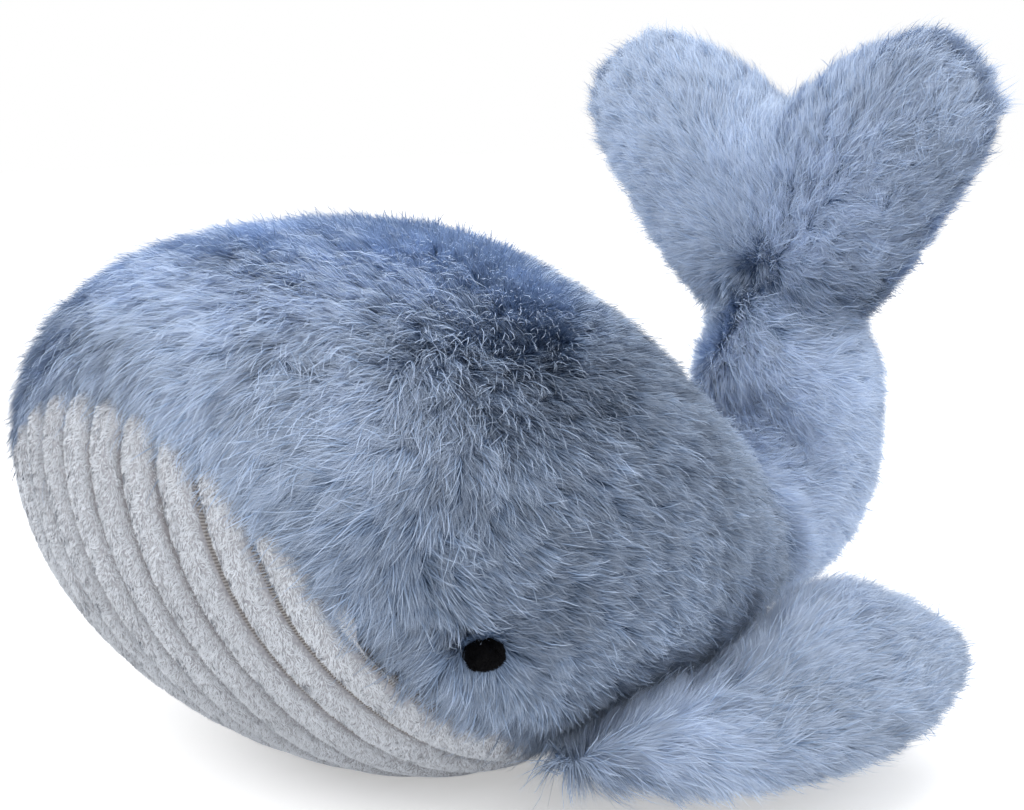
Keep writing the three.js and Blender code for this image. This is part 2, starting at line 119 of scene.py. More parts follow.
def readPoints(items, field, width, kind):
    values = np.empty(len(items) * width, kind)
    items.foreach_get(field, values)
    return values.reshape(-1, width) if width > 1 else values


def pointsOf(mesh):
    return readPoints(mesh.vertices, "co", 3, np.float64)


def normalsOf(mesh):
    return readPoints(mesh.vertex_normals, "vector", 3, np.float64)


def setPoints(mesh, points):
    mesh.vertices.foreach_set("co", np.ascontiguousarray(points, np.float32).ravel())
    mesh.update()


# camera

camera = {
    "lookAt": (0, -0.034938, 0.080),
    "place": (0.4727, -0.4276, 0.2172),
    "lens": 69.86,
    "sensor": 36,
    "shift": (0.0726, 0.0933),
    "clipStart": 0.02,
}
lensData = bpy.data.cameras.new("camera")
lensData.lens = camera["lens"]
lensData.sensor_width = camera["sensor"]
lensData.shift_x, lensData.shift_y = camera["shift"]
lensData.clip_start = camera["clipStart"]
cameraObject = inScene("camera", lensData)
aimed(cameraObject, camera["place"], camera["lookAt"])
scene.camera = cameraObject
print("stage: camera")


# the toy's plan, the same as the CAD's: sizes of the body, the throat's seam and the eyes

whale = {
    "shift": 44.938 * mm,  # the part's own middle, against the frame's
    "headLength": 121 * mm,
    "rearLength": 144 * mm,
    "width": 227 * mm,
    "height": 173 * mm,
    "noseHeight": 103 * mm,
    "throatDrop": 3 * mm,
    "seamForward": (0.98, 0.94, 0.48, -0.3),
    "seamHeight": (0.85, 0.5, 0.125, 0.0),
    "seamSteps": 160,
    "eyeDrop": (-0.4 * mm, 0, -3.0 * mm),  # the fur leaves the eye's lower part free
    # where the forehead rises, the belly lifts to the nose and climbs to the tail, and the rear end's sizes
    "riseFrom": 14 * mm,
    "liftFrom": 12 * mm,
    "climbFrom": 48 * mm,
    "rearHalf": 43 * mm,
    "rearTop": 81 * mm,
    "rearBottom": 19.5 * mm,
    "sidePower": 3.2,
    "topPower": 3.7,
    "liftPower": 1.6,
    "taperPower": 1.7,
    "skin": 0.5 * mm,
}


def seamCurve(count=whale["seamSteps"]):
    step = np.linspace(0, 1, count)[:, None]
    a, b, c, d = np.stack([
        -np.array(whale["seamForward"]) * whale["headLength"] - whale["shift"],
        np.array(whale["seamHeight"]) * whale["height"],
    ], axis=1)
    return (1 - step) ** 3 * a + 3 * step * (1 - step) ** 2 * b + 3 * step ** 2 * (1 - step) * c + step ** 3 * d


seamPoints = seamCurve()


def seamSide(points, lotSize=20000):
    # how far a point is behind the seam, below 0 in front of it, and the way to it
    flat = points[:, 1:]
    nearest = np.empty(len(flat), int)
    for start in range(0, len(flat), lotSize):
        part = flat[start:start + lotSize]
        nearest[start:start + lotSize] = ((part[:, None] - seamPoints[None]) ** 2).sum(-1).argmin(1)
    toSeam = seamPoints[nearest] - flat
    along = np.gradient(seamPoints, axis=0)[nearest]
    cross = along[:, 0] * -toSeam[:, 1] - along[:, 1] * -toSeam[:, 0]
    distance = np.linalg.norm(toSeam, axis=1) * np.sign(cross)
    toward = np.zeros_like(points)
    toward[:, 1:] = unit(np.stack([along[:, 1], -along[:, 0]], axis=1))
    return distance, toward


eyeLow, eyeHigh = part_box("eye_left")
eyeMiddle = (np.array(eyeLow) + np.array(eyeHigh)) / 2
eyePlace = eyeMiddle + np.array(whale["eyeDrop"])
eyePlaces = [eyePlace, eyePlace * np.array([-1, 1, 1])]


# stuffed forms: the CAD solids joined, remeshed, swelled and smoothed

stuffing = {
    "merge": 0.02 * mm,
    "voxel": 4.0 * mm,
    "smoothing": 12,
    "flipperSmoothing": 8,
    "lastSmoothing": 2,
    "smoothFactor": 0.5,
    "pressure": 4.0,
    "quality": 4,
    "mass": 0.3,
    "tension": 15,
    "bending": 1.5,
    "frames": 20,
    "start": 1.0 * mm,  # how much smaller the cloth starts
    "cap": 3.0 * mm,  # how far the stuffing may push it
}
bodyNodes = ["back_panel_left", "back_panel_right", "throat_panel", "body_filling", "pellet_bag"]
tailBaseNodes = ["tail_base_panel_left", "tail_base_panel_right", "tail_base_filling"]
tailNodes = ["tail_panel_left", "tail_panel_right", "tail_filling"]
flukeNodes = ["fluke_front_panel", "fluke_back_panel", "fluke_filling"]
flipperNodes = ["flipper_left_top_panel", "flipper_left_bottom_panel", "flipper_left_filling"]


def joinedShape(nodes):
    joined = bmesh.new()
    for node in nodes:
        joined.from_mesh(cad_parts[node].data)
    return joined


def joinedCopy(name, nodes):
    joined = joinedShape(nodes)
    bmesh.ops.remove_doubles(joined, verts=joined.verts, dist=stuffing["merge"])
    return newPiece(name, meshFrom(joined, name))


def applied(piece):  # the mesh with its modifiers applied
    shape = bpy.data.meshes.new_from_object(piece.evaluated_get(bpy.context.evaluated_depsgraph_get()))
    piece.modifiers.clear()
    old, piece.data = piece.data, shape
    bpy.data.meshes.remove(old)
    return piece


def keepLargest(mesh):  # remeshing can leave a bubble in a narrow gap inside
    body = bmesh.new()
    body.from_mesh(mesh)
    unseen, lots = set(body.verts), []
    while unseen:
        lot, front = [], [unseen.pop()]
        while front:
            here = front.pop()
            lot.append(here)
            near = {edge.other_vert(here) for edge in here.link_edges} & unseen
            unseen -= near
            front.extend(near)
        lots.append(lot)
    lots.sort(key=len)
    for lot in lots[:-1]:
        bmesh.ops.delete(body, geom=lot, context="VERTS")
    bmesh.ops.recalc_face_normals(body, faces=body.faces)
    body.to_mesh(mesh)
    body.free()


def smoothed(form, rounds):
    smooth = form.modifiers.new("smooth", "SMOOTH")
    smooth.factor = stuffing["smoothFactor"]
    smooth.iterations = rounds
    return applied(form)


def swelled(form):  # cloth blown up from inside by its stuffing, held near where it started
    before = pointsOf(form.data)
    setPoints(form.data, before - normalsOf(form.data) * stuffing["start"])
    cloth = form.modifiers.new("cloth", "CLOTH")
    cloth.settings.quality = stuffing["quality"]
    cloth.settings.mass = stuffing["mass"]
    cloth.settings.tension_stiffness = stuffing["tension"]
    cloth.settings.bending_stiffness = stuffing["bending"]
    cloth.settings.use_pressure = True
    cloth.settings.uniform_pressure_force = stuffing["pressure"]
    cloth.settings.effector_weights.gravity = 0
    cloth.collision_settings.use_collision = False
    cloth.point_cache.frame_end = stuffing["frames"]
    for step in range(1, stuffing["frames"] + 1):
        scene.frame_set(step)
    applied(form)
    moved = pointsOf(form.data) - before
    length = np.linalg.norm(moved, axis=1, keepdims=True)
    setPoints(form.data, before + moved * np.minimum(1, stuffing["cap"] / np.maximum(length, 1e-9)))
    scene.frame_set(1)
    return form


def stuffedForm(name, nodes, smoothing):
    form = joinedCopy(name, nodes)
    remesh = form.modifiers.new("remesh", "REMESH")
    remesh.mode = "VOXEL"
    remesh.voxel_size = stuffing["voxel"]
    applied(form)
    keepLargest(form.data)
    smoothed(form, smoothing)
    swelled(form)
    smoothed(form, stuffing["lastSmoothing"])
    return form


class Surface:  # what the fur needs to know about a form
    def __init__(self, piece):
        mesh = piece.data
        mesh.calc_loop_triangles()
        self.points = pointsOf(mesh)
        self.normals = normalsOf(mesh)
        self.triangles = readPoints(mesh.loop_triangles, "vertices", 3, np.int32)
        a, b, c = (self.points[self.triangles[:, corner]] for corner in range(3))
        self.areas = np.linalg.norm(np.cross(b - a, c - a), axis=1) / 2
        self.edges = readPoints(mesh.edges, "vertices", 2, np.int32)

    def evened(self, values, rounds):  # a value or direction at each point, blurred over the surface
        values = values.astype(np.float64)
        count = np.zeros(len(self.points))
        np.add.at(count, self.edges.ravel(), 1)
        shape = (-1,) + (1,) * (values.ndim - 1)
        for _ in range(rounds):
            total = np.zeros_like(values)
            np.add.at(total, self.edges[:, 0], values[self.edges[:, 1]])
            np.add.at(total, self.edges[:, 1], values[self.edges[:, 0]])
            values = values / 2 + total / np.maximum(count, 1).reshape(shape) / 2
        return values


def nearestLot(points, lots):  # which lot of nodes a point is nearest to
    distances = []
    for nodes in lots:
        joined = joinedShape(nodes)
        tree = BVHTree.FromBMesh(joined)
        joined.free()
        distances.append([tree.find_nearest(Vector(point))[3] for point in points])
    return np.array(distances).argmin(0)


# the flipper swells up against the flank, and its front is pushed in under the body
flipperSwell = {
    "rise": 6 * mm,
    "upward": (-0.1, 0.5),  # of the normal's height
    "across": (130 * mm, 104 * mm),
    "fromFront": (-72 * mm, -40 * mm),
    "fromBack": (80 * mm, 40 * mm),
    "front": (-45 * mm, -72 * mm),
    "frontPush": (-4.5 * mm, -5.5 * mm, -1 * mm),
}
whaleForm = stuffedForm("whale_form", bodyNodes + tailBaseNodes + tailNodes + flukeNodes, stuffing["smoothing"])
flipperForm = stuffedForm("flipper_form", flipperNodes, stuffing["flipperSmoothing"])
points, normals = pointsOf(flipperForm.data), normalsOf(flipperForm.data)
points[:, 2] += (flipperSwell["rise"] * smoothStep(normals[:, 2], *flipperSwell["upward"])
                 * smoothStep(points[:, 0], *flipperSwell["across"])
                 * smoothStep(points[:, 1], *flipperSwell["fromFront"])
                 * smoothStep(points[:, 1], *flipperSwell["fromBack"]))
points += smoothStep(points[:, 1], *flipperSwell["front"])[:, None] * np.array(flipperSwell["frontPush"])
setPoints(flipperForm.data, points)
whaleSurface = Surface(whaleForm)
flipperSurface = Surface(flipperForm)
# lots: 0 the body, 1 the tail's base, 2 its stalk, 3 the fluke
whaleLot = nearestLot(whaleSurface.points, [bodyNodes, tailBaseNodes, tailNodes, flukeNodes])
print("stage: forms", len(whaleSurface.points), len(flipperSurface.points))


# nap: which way the pile lies, how far it leans and how long it is

nap = {
    "ways": [(0, 0.50, -0.42), (0.45, 0.85, -0.25), (0.6, 0.75, -0.20), (0, 0, 0)],  # by lot
    "leans": [4.2 * mm, 8.0 * mm, 8.0 * mm, 7.0 * mm],
    "sideways": (0.15, 0.6),  # over the back and over the forehead
    "sidewaysFrom": (85 * mm, 45 * mm),
    "turnOver": (-66 * mm, -34 * mm),  # across the forehead the pile turns to one side, and parts beyond it
    "seamReach": (18 * mm, 88 * mm),  # low at the sides and over the forehead
    "seamHeights": (88 * mm, 122 * mm),
    "topReach": 165 * mm,  # over the top the pile lies forward as far as the back
    "topHeights": (132 * mm, 158 * mm),
    "overSeam": 8.5 * mm,
    "eyeReach": 12 * mm,
    "eyePull": (0, 0.25, -0.2),
    "roundEye": 5.5 * mm,
    "flukeMiddle": 143 * mm,  # the pile on the fluke lies away from here
    "flukeReach": 22 * mm,
    "slowRounds": 80,  # over the forehead and the fluke's middle the pile turns slowly and parts nowhere
    "slowFluke": 12 * mm,
    "slowBehind": (10 * mm, 32 * mm),
    "slowHeights": (96 * mm, 122 * mm),
    "flipperWay": (0.30, 1.0, 0.08),
    "flipperFrontWay": (-0.1, -1.0, -0.35),
    "flipperFront": (-56 * mm, -72 * mm),
    "flipperLean": 7.2 * mm,
}


def patchNoise(points, size, seed, waves=7):  # soft patches from a few turned waves
    source = np.random.default_rng(seed)
    total = np.zeros(len(points))
    for _ in range(waves):
        direction = unit(source.normal(size=3))
        wave = 2 * np.pi / (size * source.uniform(0.7, 1.6))
        total += np.sin(points @ direction * wave + source.uniform(0, 2 * np.pi))
    return total / waves ** 0.5


def whaleNap(surface, lot):
    points, normals = surface.points, surface.normals
    side, toward = seamSide(points)
    side = np.maximum(side, 0)
    body, fin = lot == 0, lot == 3
    way, lean = np.array(nap["ways"])[lot], np.array(nap["leans"])[lot]
    across = mix(-1, 1, smoothStep(points[:, 0], *nap["turnOver"]))
    way[:, 0] += np.where(body, across * mix(*nap["sideways"], smoothStep(side, *nap["sidewaysFrom"])), 0)
    aboveMiddle = points[:, 2] - nap["flukeMiddle"]
    way[fin] = np.stack([points[:, 0], 0 * across, aboveMiddle], axis=1)[fin] / nap["flukeReach"]
    calm = np.where(fin, np.clip(np.linalg.norm(way, axis=1), 0.5, 1), 1)
    way = unit(way) * calm[:, None]

    reach = mix(*nap["seamReach"], smoothStep(points[:, 2], *nap["seamHeights"]))
    reach = mix(reach, nap["topReach"], smoothStep(points[:, 2], *nap["topHeights"]))
    overSeam = np.exp(-(side / reach) ** 2) * body
    way = way * (1 - overSeam[:, None]) + toward * overSeam[:, None]
    lean = mix(lean, nap["overSeam"], overSeam)
    for place in eyePlaces:
        radial = points - place
        near = np.exp(-(np.linalg.norm(radial, axis=1) / nap["eyeReach"]) ** 2)
        wanted = unit(unit(radial) + np.array(nap["eyePull"]))
        way = way * (1 - near[:, None]) + wanted * near[:, None]
        lean = mix(lean, nap["roundEye"], near)

    way = alongSurface(surface.evened(way, 9), normals)
    flat = np.linalg.norm(way, axis=1)  # short where the pile parts or faces its own way, so it stands up
    lay = unit(way) * surface.evened(lean * np.clip(flat * 2.2, 0.25, 1), 3)[:, None]
    slow = alongSurface(surface.evened(lay, nap["slowRounds"]), normals)
    onForehead = smoothStep(side, *nap["slowBehind"]) * smoothStep(points[:, 2], *nap["slowHeights"])
    onFluke = np.exp(-(np.hypot(points[:, 0], aboveMiddle) / nap["slowFluke"]) ** 2)
    lay = mix(lay, slow, surface.evened(np.where(fin, onFluke, body * onForehead), 6)[:, None])
    return unit(lay), np.linalg.norm(lay, axis=1)


def flipperNap(surface):
    front = smoothStep(surface.points[:, 1], *nap["flipperFront"])[:, None]
    way = unit(mix(np.array(nap["flipperWay"]), np.array(nap["flipperFrontWay"]), front))
    way = alongSurface(way, surface.normals)
    flat = np.linalg.norm(way, axis=1, keepdims=True)
    lay = surface.evened(unit(way) * nap["flipperLean"] * np.clip(flat * 1.3, 0, 1), 9)
    return unit(lay), np.linalg.norm(lay, axis=1)


whaleWay, whaleLean = whaleNap(whaleSurface, whaleLot)
flipperWay, flipperLean = flipperNap(flipperSurface)
whaleSide, _ = seamSide(whaleSurface.points)
print("stage: nap")


# materials

def nodeMaker(tree):
    # gives a function that adds a node: what goes into its sockets, as a value or a link, and its settings
    def make(kind, sockets={}, **settings):
        node = tree.nodes.new(kind)
        for key, value in settings.items():
            setattr(node, key, value)
        for key, value in sockets.items():
            if isinstance(value, bpy.types.NodeSocket):
                tree.links.new(value, node.inputs[key])
            else:
                node.inputs[key].default_value = value
        return node
    return make


def maths(make, operation, *values):
    return make("ShaderNodeMath", dict(enumerate(values)), operation=operation).outputs[0]


def mixedColour(make, share, first, second):
    sockets = {"Factor": share, "A": first, "B": second}
    return make("ShaderNodeMix", sockets, data_type="RGBA").outputs["Result"]


def mapped(make, value, sockets, way="LINEAR"):
    return make("ShaderNodeMapRange", {"Value": value, **sockets}, interpolation_type=way).outputs["Result"]


def newGroup(name, inputs, outputs):
    group = bpy.data.node_groups.new(name, "ShaderNodeTree")
    for inOut, sockets in (("INPUT", inputs), ("OUTPUT", outputs)):
        for label, kind, *value in sockets:
            made = group.interface.new_socket(name=label, in_out=inOut, socket_type=kind)
            if value:
                made.default_value = value[0]
    given, put = group.nodes.new("NodeGroupInput"), group.nodes.new("NodeGroupOutput")
    return group, nodeMaker(group), given.outputs, put.inputs


def strandColourGroup():  # a hair's colour from its root to its tip, its darker root a painted shade deep in the pile; darker or paler from hair to hair
    group, make, given, put = newGroup("strand colour", [
        ("UV", "NodeSocketVector"),
        ("Root", "NodeSocketColor"),
        ("Middle", "NodeSocketColor"),
        ("Tip", "NodeSocketColor"),
        ("Middle Place", "NodeSocketFloat", 0.45),
        ("Darkest", "NodeSocketFloat", 0.6),
        ("Palest", "NodeSocketFloat", 1.4),
    ], [("Colour", "NodeSocketColor")])
    apart = make("ShaderNodeSeparateXYZ", {0: given["UV"]}).outputs
    lower = mapped(make, apart["Y"], {"From Min": 0, "From Max": given["Middle Place"]}, "SMOOTHSTEP")
    upper = mapped(make, apart["Y"], {"From Min": given["Middle Place"], "From Max": 1})
    colour = mixedColour(make, lower, given["Root"], given["Middle"])
    colour = mixedColour(make, upper, colour, given["Tip"])
    shade = mapped(make, apart["X"], {"To Min": given["Darkest"], "To Max": given["Palest"]})
    scaled = make("ShaderNodeVectorMath", {0: colour}, operation="SCALE")
    group.links.new(shade, scaled.inputs["Scale"])
    group.links.new(scaled.outputs["Vector"], put["Colour"])
    return group


def knitGroup():  # backing cloth: rows of small loops, from the place on the piece
    group, make, given, put = newGroup("knit backing", [
        ("Place", "NodeSocketVector"),
        ("Loop Size", "NodeSocketFloat", 0.0012),
        ("Pale", "NodeSocketColor"),
        ("Dark", "NodeSocketColor"),
    ], [("Colour", "NodeSocketColor"), ("Height", "NodeSocketFloat")])
    scale = maths(make, "DIVIDE", 1, given["Loop Size"])
    cells = make("ShaderNodeTexVoronoi", {"Vector": given["Place"], "Scale": scale}).outputs["Distance"]
    patches = make("ShaderNodeTexNoise", {"Vector": given["Place"], "Scale": 60}).outputs["Fac"]
    total = maths(make, "MULTIPLY_ADD", patches, 0.4, cells)
    group.links.new(mixedColour(make, total, given["Pale"], given["Dark"]), put["Colour"])
    group.links.new(maths(make, "SUBTRACT", 1, cells), put["Height"])
    return group


strandColour = strandColourGroup()
knitBacking = knitGroup()


def newMaterial(name, look):
    material = bpy.data.materials.new(name)
    material.use_nodes = True
    shader = material.node_tree.nodes["Principled BSDF"].inputs
    shader["Roughness"].default_value = look["roughness"]
    shader["Specular IOR Level"].default_value = look["specular"]
    return material, material.node_tree.links, nodeMaker(material.node_tree), shader


def strandMaterial(name, look):
    material, links, make, shader = newMaterial(name, look)
    place = make("ShaderNodeUVMap", uv_map="OFBake").outputs["UV"]
    colour = make("ShaderNodeGroup", node_tree=strandColour)
    links.new(place, colour.inputs["UV"])
    for key, label in (("root", "Root"), ("middle", "Middle"), ("tip", "Tip")):
        colour.inputs[label].default_value = srgb(*look[key])
    colour.inputs["Middle Place"].default_value = look["middlePlace"]
    colour.inputs["Darkest"].default_value, colour.inputs["Palest"].default_value = look["shades"]
    links.new(colour.outputs["Colour"], shader["Base Color"])
    # a hair is lit as the pile round it from outside, and as it lies where its back is seen
    seen = make("ShaderNodeNewGeometry").outputs
    pileNormal = make("ShaderNodeMix", {"Factor": seen["Backfacing"], "A": seen["Normal"], "B": seen["True Normal"]},
                      data_type="VECTOR")
    links.new(pileNormal.outputs["Result"], shader["Normal"])
    shader["Sheen Weight"].default_value = look["sheen"]
    shader["Sheen Roughness"].default_value = 0.5
    return material


def knitCloth(look, links, make, shader):  # the knit's colour, with its bump put on the shader
    knit = make("ShaderNodeGroup", node_tree=knitBacking)
    links.new(make("ShaderNodeTexCoord").outputs["Object"], knit.inputs["Place"])
    knit.inputs["Loop Size"].default_value = look["loop"]
    knit.inputs["Pale"].default_value = srgb(*look["pale"])
    knit.inputs["Dark"].default_value = srgb(*look["dark"])
    bump = make("ShaderNodeBump", {"Strength": look["bump"], "Distance": look["loop"] / 2,
                                   "Height": knit.outputs["Height"]})
    links.new(bump.outputs["Normal"], shader["Normal"])
    return knit.outputs["Colour"]


def clothMaterial(name, look):
    material, links, make, shader = newMaterial(name, look)
    links.new(knitCloth(look, links, make, shader), shader["Base Color"])
    return material


# the fur's and the nap's darker roots are painted shade deep in the pile
furMaterial = strandMaterial("blue plush pile", {
    "root": (66, 90, 126), "middle": (146, 168, 200), "tip": (200, 215, 238), "middlePlace": 0.6,
    "shades": (0.45, 1.42), "roughness": 0.85, "specular": 0.15, "sheen": 0.0})
napMaterial = strandMaterial("grey velour nap", {
    "root": (134, 138, 147), "middle": (198, 203, 211), "tip": (224, 228, 235), "middlePlace": 0.4,
    "shades": (0.75, 1.2), "roughness": 0.85, "specular": 0.15, "sheen": 0.1})
threadMaterial = strandMaterial("black eye thread", {
    "root": (2, 2, 3), "middle": (6, 6, 8), "tip": (22, 22, 26), "middlePlace": 0.5,
    "shades": (0.4, 1.6), "roughness": 0.7, "specular": 0.05, "sheen": 0.0})
stitchMaterial = clothMaterial("black eye stitches", {
    "pale": (8, 8, 10), "dark": (2, 2, 3), "loop": 0.5 * mm, "bump": 0.8, "roughness": 0.85, "specular": 0.1})
backingMaterial = clothMaterial("pale pile backing", {
    "pale": (124, 146, 178), "dark": (98, 121, 156), "loop": 1.6 * mm, "bump": 0.6, "roughness": 0.95,
    "specular": 0.1})
print("stage: materials")


# backing cloth: each form drawn in under its pile, cut into its panels

backing = {
    "pileDepth": 5.2 * mm,  # from the CAD face to the cloth, and so how long the pile is
    "throatDepth": 12 * mm,
    "throatEdge": (-2 * mm, 6 * mm),
    "thicknessShare": 0.38,  # of the form's thickness at a point, at most
    "openThickness": 50 * mm,
}


def thicknessOf(surface):
    tree = BVHTree.FromPolygons([tuple(point) for point in surface.points],
                                [tuple(corners) for corners in surface.triangles.tolist()])
    found = []
    for point, normal in zip(surface.points, surface.normals):
        hit = tree.ray_cast(Vector(point - normal * 0.5 * mm), Vector(-normal))
        found.append(hit[3] if hit[0] else backing["openThickness"])
    return surface.evened(np.array(found), 3)


def drawnIn(surface, depth):
    normals = unit(surface.evened(surface.normals, 2))
    return surface.evened(surface.points - normals * depth[:, None], 3)


whaleThick = np.minimum(thicknessOf(whaleSurface) * backing["thicknessShare"], 1)
flipperThick = np.minimum(thicknessOf(flipperSurface) * backing["thicknessShare"], 1)
whalePile = np.minimum(whaleThick, backing["pileDepth"])
flipperPile = np.minimum(flipperThick, backing["pileDepth"])
throatDepth = mix(backing["throatDepth"], backing["pileDepth"], smoothStep(whaleSide, *backing["throatEdge"]))
bodyDepth = np.where(whaleLot == 0, throatDepth, backing["pileDepth"])
whaleBacking = drawnIn(whaleSurface, np.minimum(bodyDepth, whaleThick))
flipperBacking = drawnIn(flipperSurface, flipperPile)


def clothPanel(name, source, points, keep, material, mirror=False):
    # keep is a mask over the form's points; a face stays where all its points do
    shape = bmesh.new()
    shape.from_mesh(source.data)
    shape.verts.ensure_lookup_table()
    for vertex, place in zip(shape.verts, points):
        vertex.co = place
    gone = [face for face in shape.faces if not all(keep[vertex.index] for vertex in face.verts)]
    bmesh.ops.delete(shape, geom=gone, context="FACES")
    if mirror:
        bmesh.ops.scale(shape, vec=(-1, 1, 1), verts=shape.verts)
        bmesh.ops.reverse_faces(shape, faces=shape.faces)
    for face in shape.faces:
        face.smooth = True
    return newPiece(name, meshFrom(shape, name), material)


# joints: where each bends, the way across it, and how far the bend reaches to either side

joints = {
    "tailBase": {"pivot": (0, 0.082062, 0.053187), "along": (0, 1, 0.05), "reach": 18 * mm},
    "tail": {"pivot": (0, 0.128469, 0.067704), "along": (0, 0.35, 0.94), "reach": 17 * mm},
    "fluke": {"pivot": (0, 0.126831, 0.122572), "along": (0, 0, 1), "reach": 10 * mm},
    "flipper": {"pivot": (0.078, -0.038938, 0.026), "along": (1, 0, 0), "reach": 9 * mm},
}
# the whale's parts in a row: before, between and after the joints, where no bend reaches both
partBends = [("body", "tail_base", "tailBase"), ("tail_base", "tail", "tail"), ("tail", "fluke", "fluke")]


def bend(piece, joint, mirror=False):
    pivot, along = np.array(joint["pivot"]), unit(np.array(joint["along"], float))
    if mirror:
        pivot, along = pivot * (-1, 1, 1), along * (-1, 1, 1)
    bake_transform(piece)


def bendPart(piece, part):
    first, second, joint = partBends[part]
    bend(piece, joints[joint])


def pastJoint(points, joint):  # how far past a joint a point is, along the toy
    return (points - np.array(joint["pivot"])) @ unit(np.array(joint["along"], float))


def wholeParts(points, lot):
    pastBase = pastJoint(points, joints["tailBase"])
    pastTail = pastJoint(points, joints["tail"])
    part = np.where(pastBase < joints["tailBase"]["reach"], 0, 1)
    part = np.where((pastTail > joints["tail"]["reach"]) & (part == 1), 2, part)
    return np.where(lot == 0, 0, np.where(lot == 3, 2, part))


# fur: each hair a thin triangle, and each long hair on top a bent ribbon

fur = {
    "density": 6.5e6,  # hairs on a square metre
    "width": 0.25 * mm,
    "guardWidth": 0.22 * mm,
    "fuzz": 1.4 * mm,  # shorter or longer than the pile's depth
    "stray": 0.9 * mm,
    "leanRange": (0.65, 1.3),
    "guardShare": 0.04,
    "guardRise": 2.4 * mm,
    "guardLean": 1.35,
    "tuft": 4.2 * mm,
    "tuftPull": 0.45,
    "ruffle": 0.30,
    "swirl": 0.22,
    "swirlSize": 38 * mm,
    "floor": 0.4 * mm,
    "calmRoot": 0.7,  # where the pile lies calm its roots are painted as pale as this far up a hair, lifting their painted depth shade
    "level": 0.46,  # the shades, with 1 the palest and 0 the darkest
    "patch": 0.08,
    "patchSize": 45 * mm,
    "tuftSpread": 0.09,
    "hairSpread": 0.13,
    "guardPaler": 0.10,
}


def scatter(surface, weights, count, source):
    chance = surface.areas * weights[surface.triangles].mean(1)
    chosen = source.choice(len(chance), count, p=chance / chance.sum())
    first, second = source.random(count), source.random(count)
    flip = first + second > 1
    first, second = np.where(flip, 1 - first, first), np.where(flip, 1 - second, second)
    share = np.stack([1 - first - second, first, second], axis=1)
    return surface.triangles[chosen], share


def carried(values, corners, share):
    if values.ndim == 1:
        return (values[corners] * share).sum(1)
    return (values[corners] * share[:, :, None]).sum(1)


def tufts(roots, spacing, source, fewest=8):  # the nearest tuft of each hair
    count = max(fewest, int(len(roots) * min(1, spacing)))
    centres = source.choice(len(roots), count, replace=False)
    tree = kdtree.KDTree(count)
    for index, centre in enumerate(centres):
        tree.insert(roots[centre], index)
    tree.balance()
    return centres, np.array([tree.find(root)[1] for root in roots])


def growFur(surface, way, lean, pile, weights, longer, source):
    area = float((surface.areas * weights[surface.triangles].mean(1)).sum())
    count = int(area * fur["density"])
    corners, share = scatter(surface, weights, count, source)
    face = carried(surface.points, corners, share)
    normal = unit(carried(surface.normals, corners, share))
    lie = unit(carried(way, corners, share))
    over = carried(lean, corners, share)
    length = carried(longer, corners, share)
    rise = carried(pile, corners, share)
    root = face - normal * rise[:, None]
    centres, tuft = tufts(face, 1 / (fur["density"] * fur["tuft"] ** 2), source)
    sideways = np.cross(normal, lie)

    turn = source.normal(0, fur["ruffle"], len(centres))[tuft] + source.normal(0, fur["ruffle"], count)
    turn += fur["swirl"] * patchNoise(face, fur["swirlSize"], 11)
    heading = lie * np.cos(turn)[:, None] + sideways * np.sin(turn)[:, None]
    guard = source.random(count) < fur["guardShare"]
    over = over * source.uniform(*fur["leanRange"], count) * np.where(guard, fur["guardLean"], 1) * length
    height = rise + backing["pileDepth"] * (length - 1) + fur["fuzz"] * source.uniform(-1.6, 1.0, count)
    height += fur["fuzz"] * source.normal(0, 0.4, len(centres))[tuft]
    height += np.where(guard, fur["guardRise"] * source.uniform(0, 1, count), 0)
    stray = source.normal(0, fur["stray"], (count, 2))
    tip = root + normal * height[:, None] + heading * over[:, None]
    tip += lie * stray[:, :1] + sideways * stray[:, 1:]
    pull = fur["tuftPull"] * source.uniform(0.3, 1.0, count) * np.where(guard, 0.4, 1)
    tip = tip + (tip[centres][tuft] - tip) * pull[:, None]
    return {"root": root, "tip": tip, "normal": normal, "guard": guard, "tuft": tuft, "count": count,
            "corners": corners, "share": share}


def hairShade(hairs, seed, source, calm):
    spread = source.normal(0, fur["tuftSpread"], hairs["tuft"].max() + 1)[hairs["tuft"]]
    spread += source.normal(0, fur["hairSpread"], hairs["count"]) + np.where(hairs["guard"], fur["guardPaler"], 0)
    return (fur["level"] + fur["patch"] * patchNoise(hairs["root"], fur["patchSize"], seed)
            + spread * (1 - 0.45 * calm))


def hairMesh(name, points, faces, uv, normals, material, lowest):
    # points, uv and normals are (hair, point, ...); faces are one hair's
    count, perHair = points.shape[:2]
    points[:, :, 2] = np.maximum(points[:, :, 2], lowest)
    corners = [corner for face in faces for corner in face]
    loops = ((np.arange(count) * perHair)[:, None] + np.array(corners)).ravel()
    steps = np.cumsum([0] + [len(face) for face in faces[:-1]])
    starts = ((np.arange(count) * len(corners))[:, None] + steps).ravel()
    mesh = bpy.data.meshes.new(name)
    mesh.vertices.add(count * perHair)
    mesh.vertices.foreach_set("co", points.astype(np.float32).ravel())
    mesh.loops.add(len(loops))
    mesh.loops.foreach_set("vertex_index", loops.astype(np.int32))
    mesh.polygons.add(len(starts))
    mesh.polygons.foreach_set("loop_start", starts.astype(np.int32))
    mesh.polygons.foreach_set("use_smooth", np.ones(len(starts), bool))
    mesh.update(calc_edges=True)
    layer = mesh.uv_layers.new(name="OFBake")
    layer.uv.foreach_set("vector", np.clip(uv, 0.005, 0.995).reshape(-1, 2)[loops].astype(np.float32).ravel())
    mesh.normals_split_custom_set_from_vertices(unit(normals).reshape(-1, 3).astype(np.float32))
    return newPiece(name, mesh, material)


def shadeUv(*pairs):  # for each point of a hair: its shade, and how far up the hair it is
    return np.stack([np.stack(np.broadcast_arrays(*pair), axis=1) for pair in pairs], axis=1)


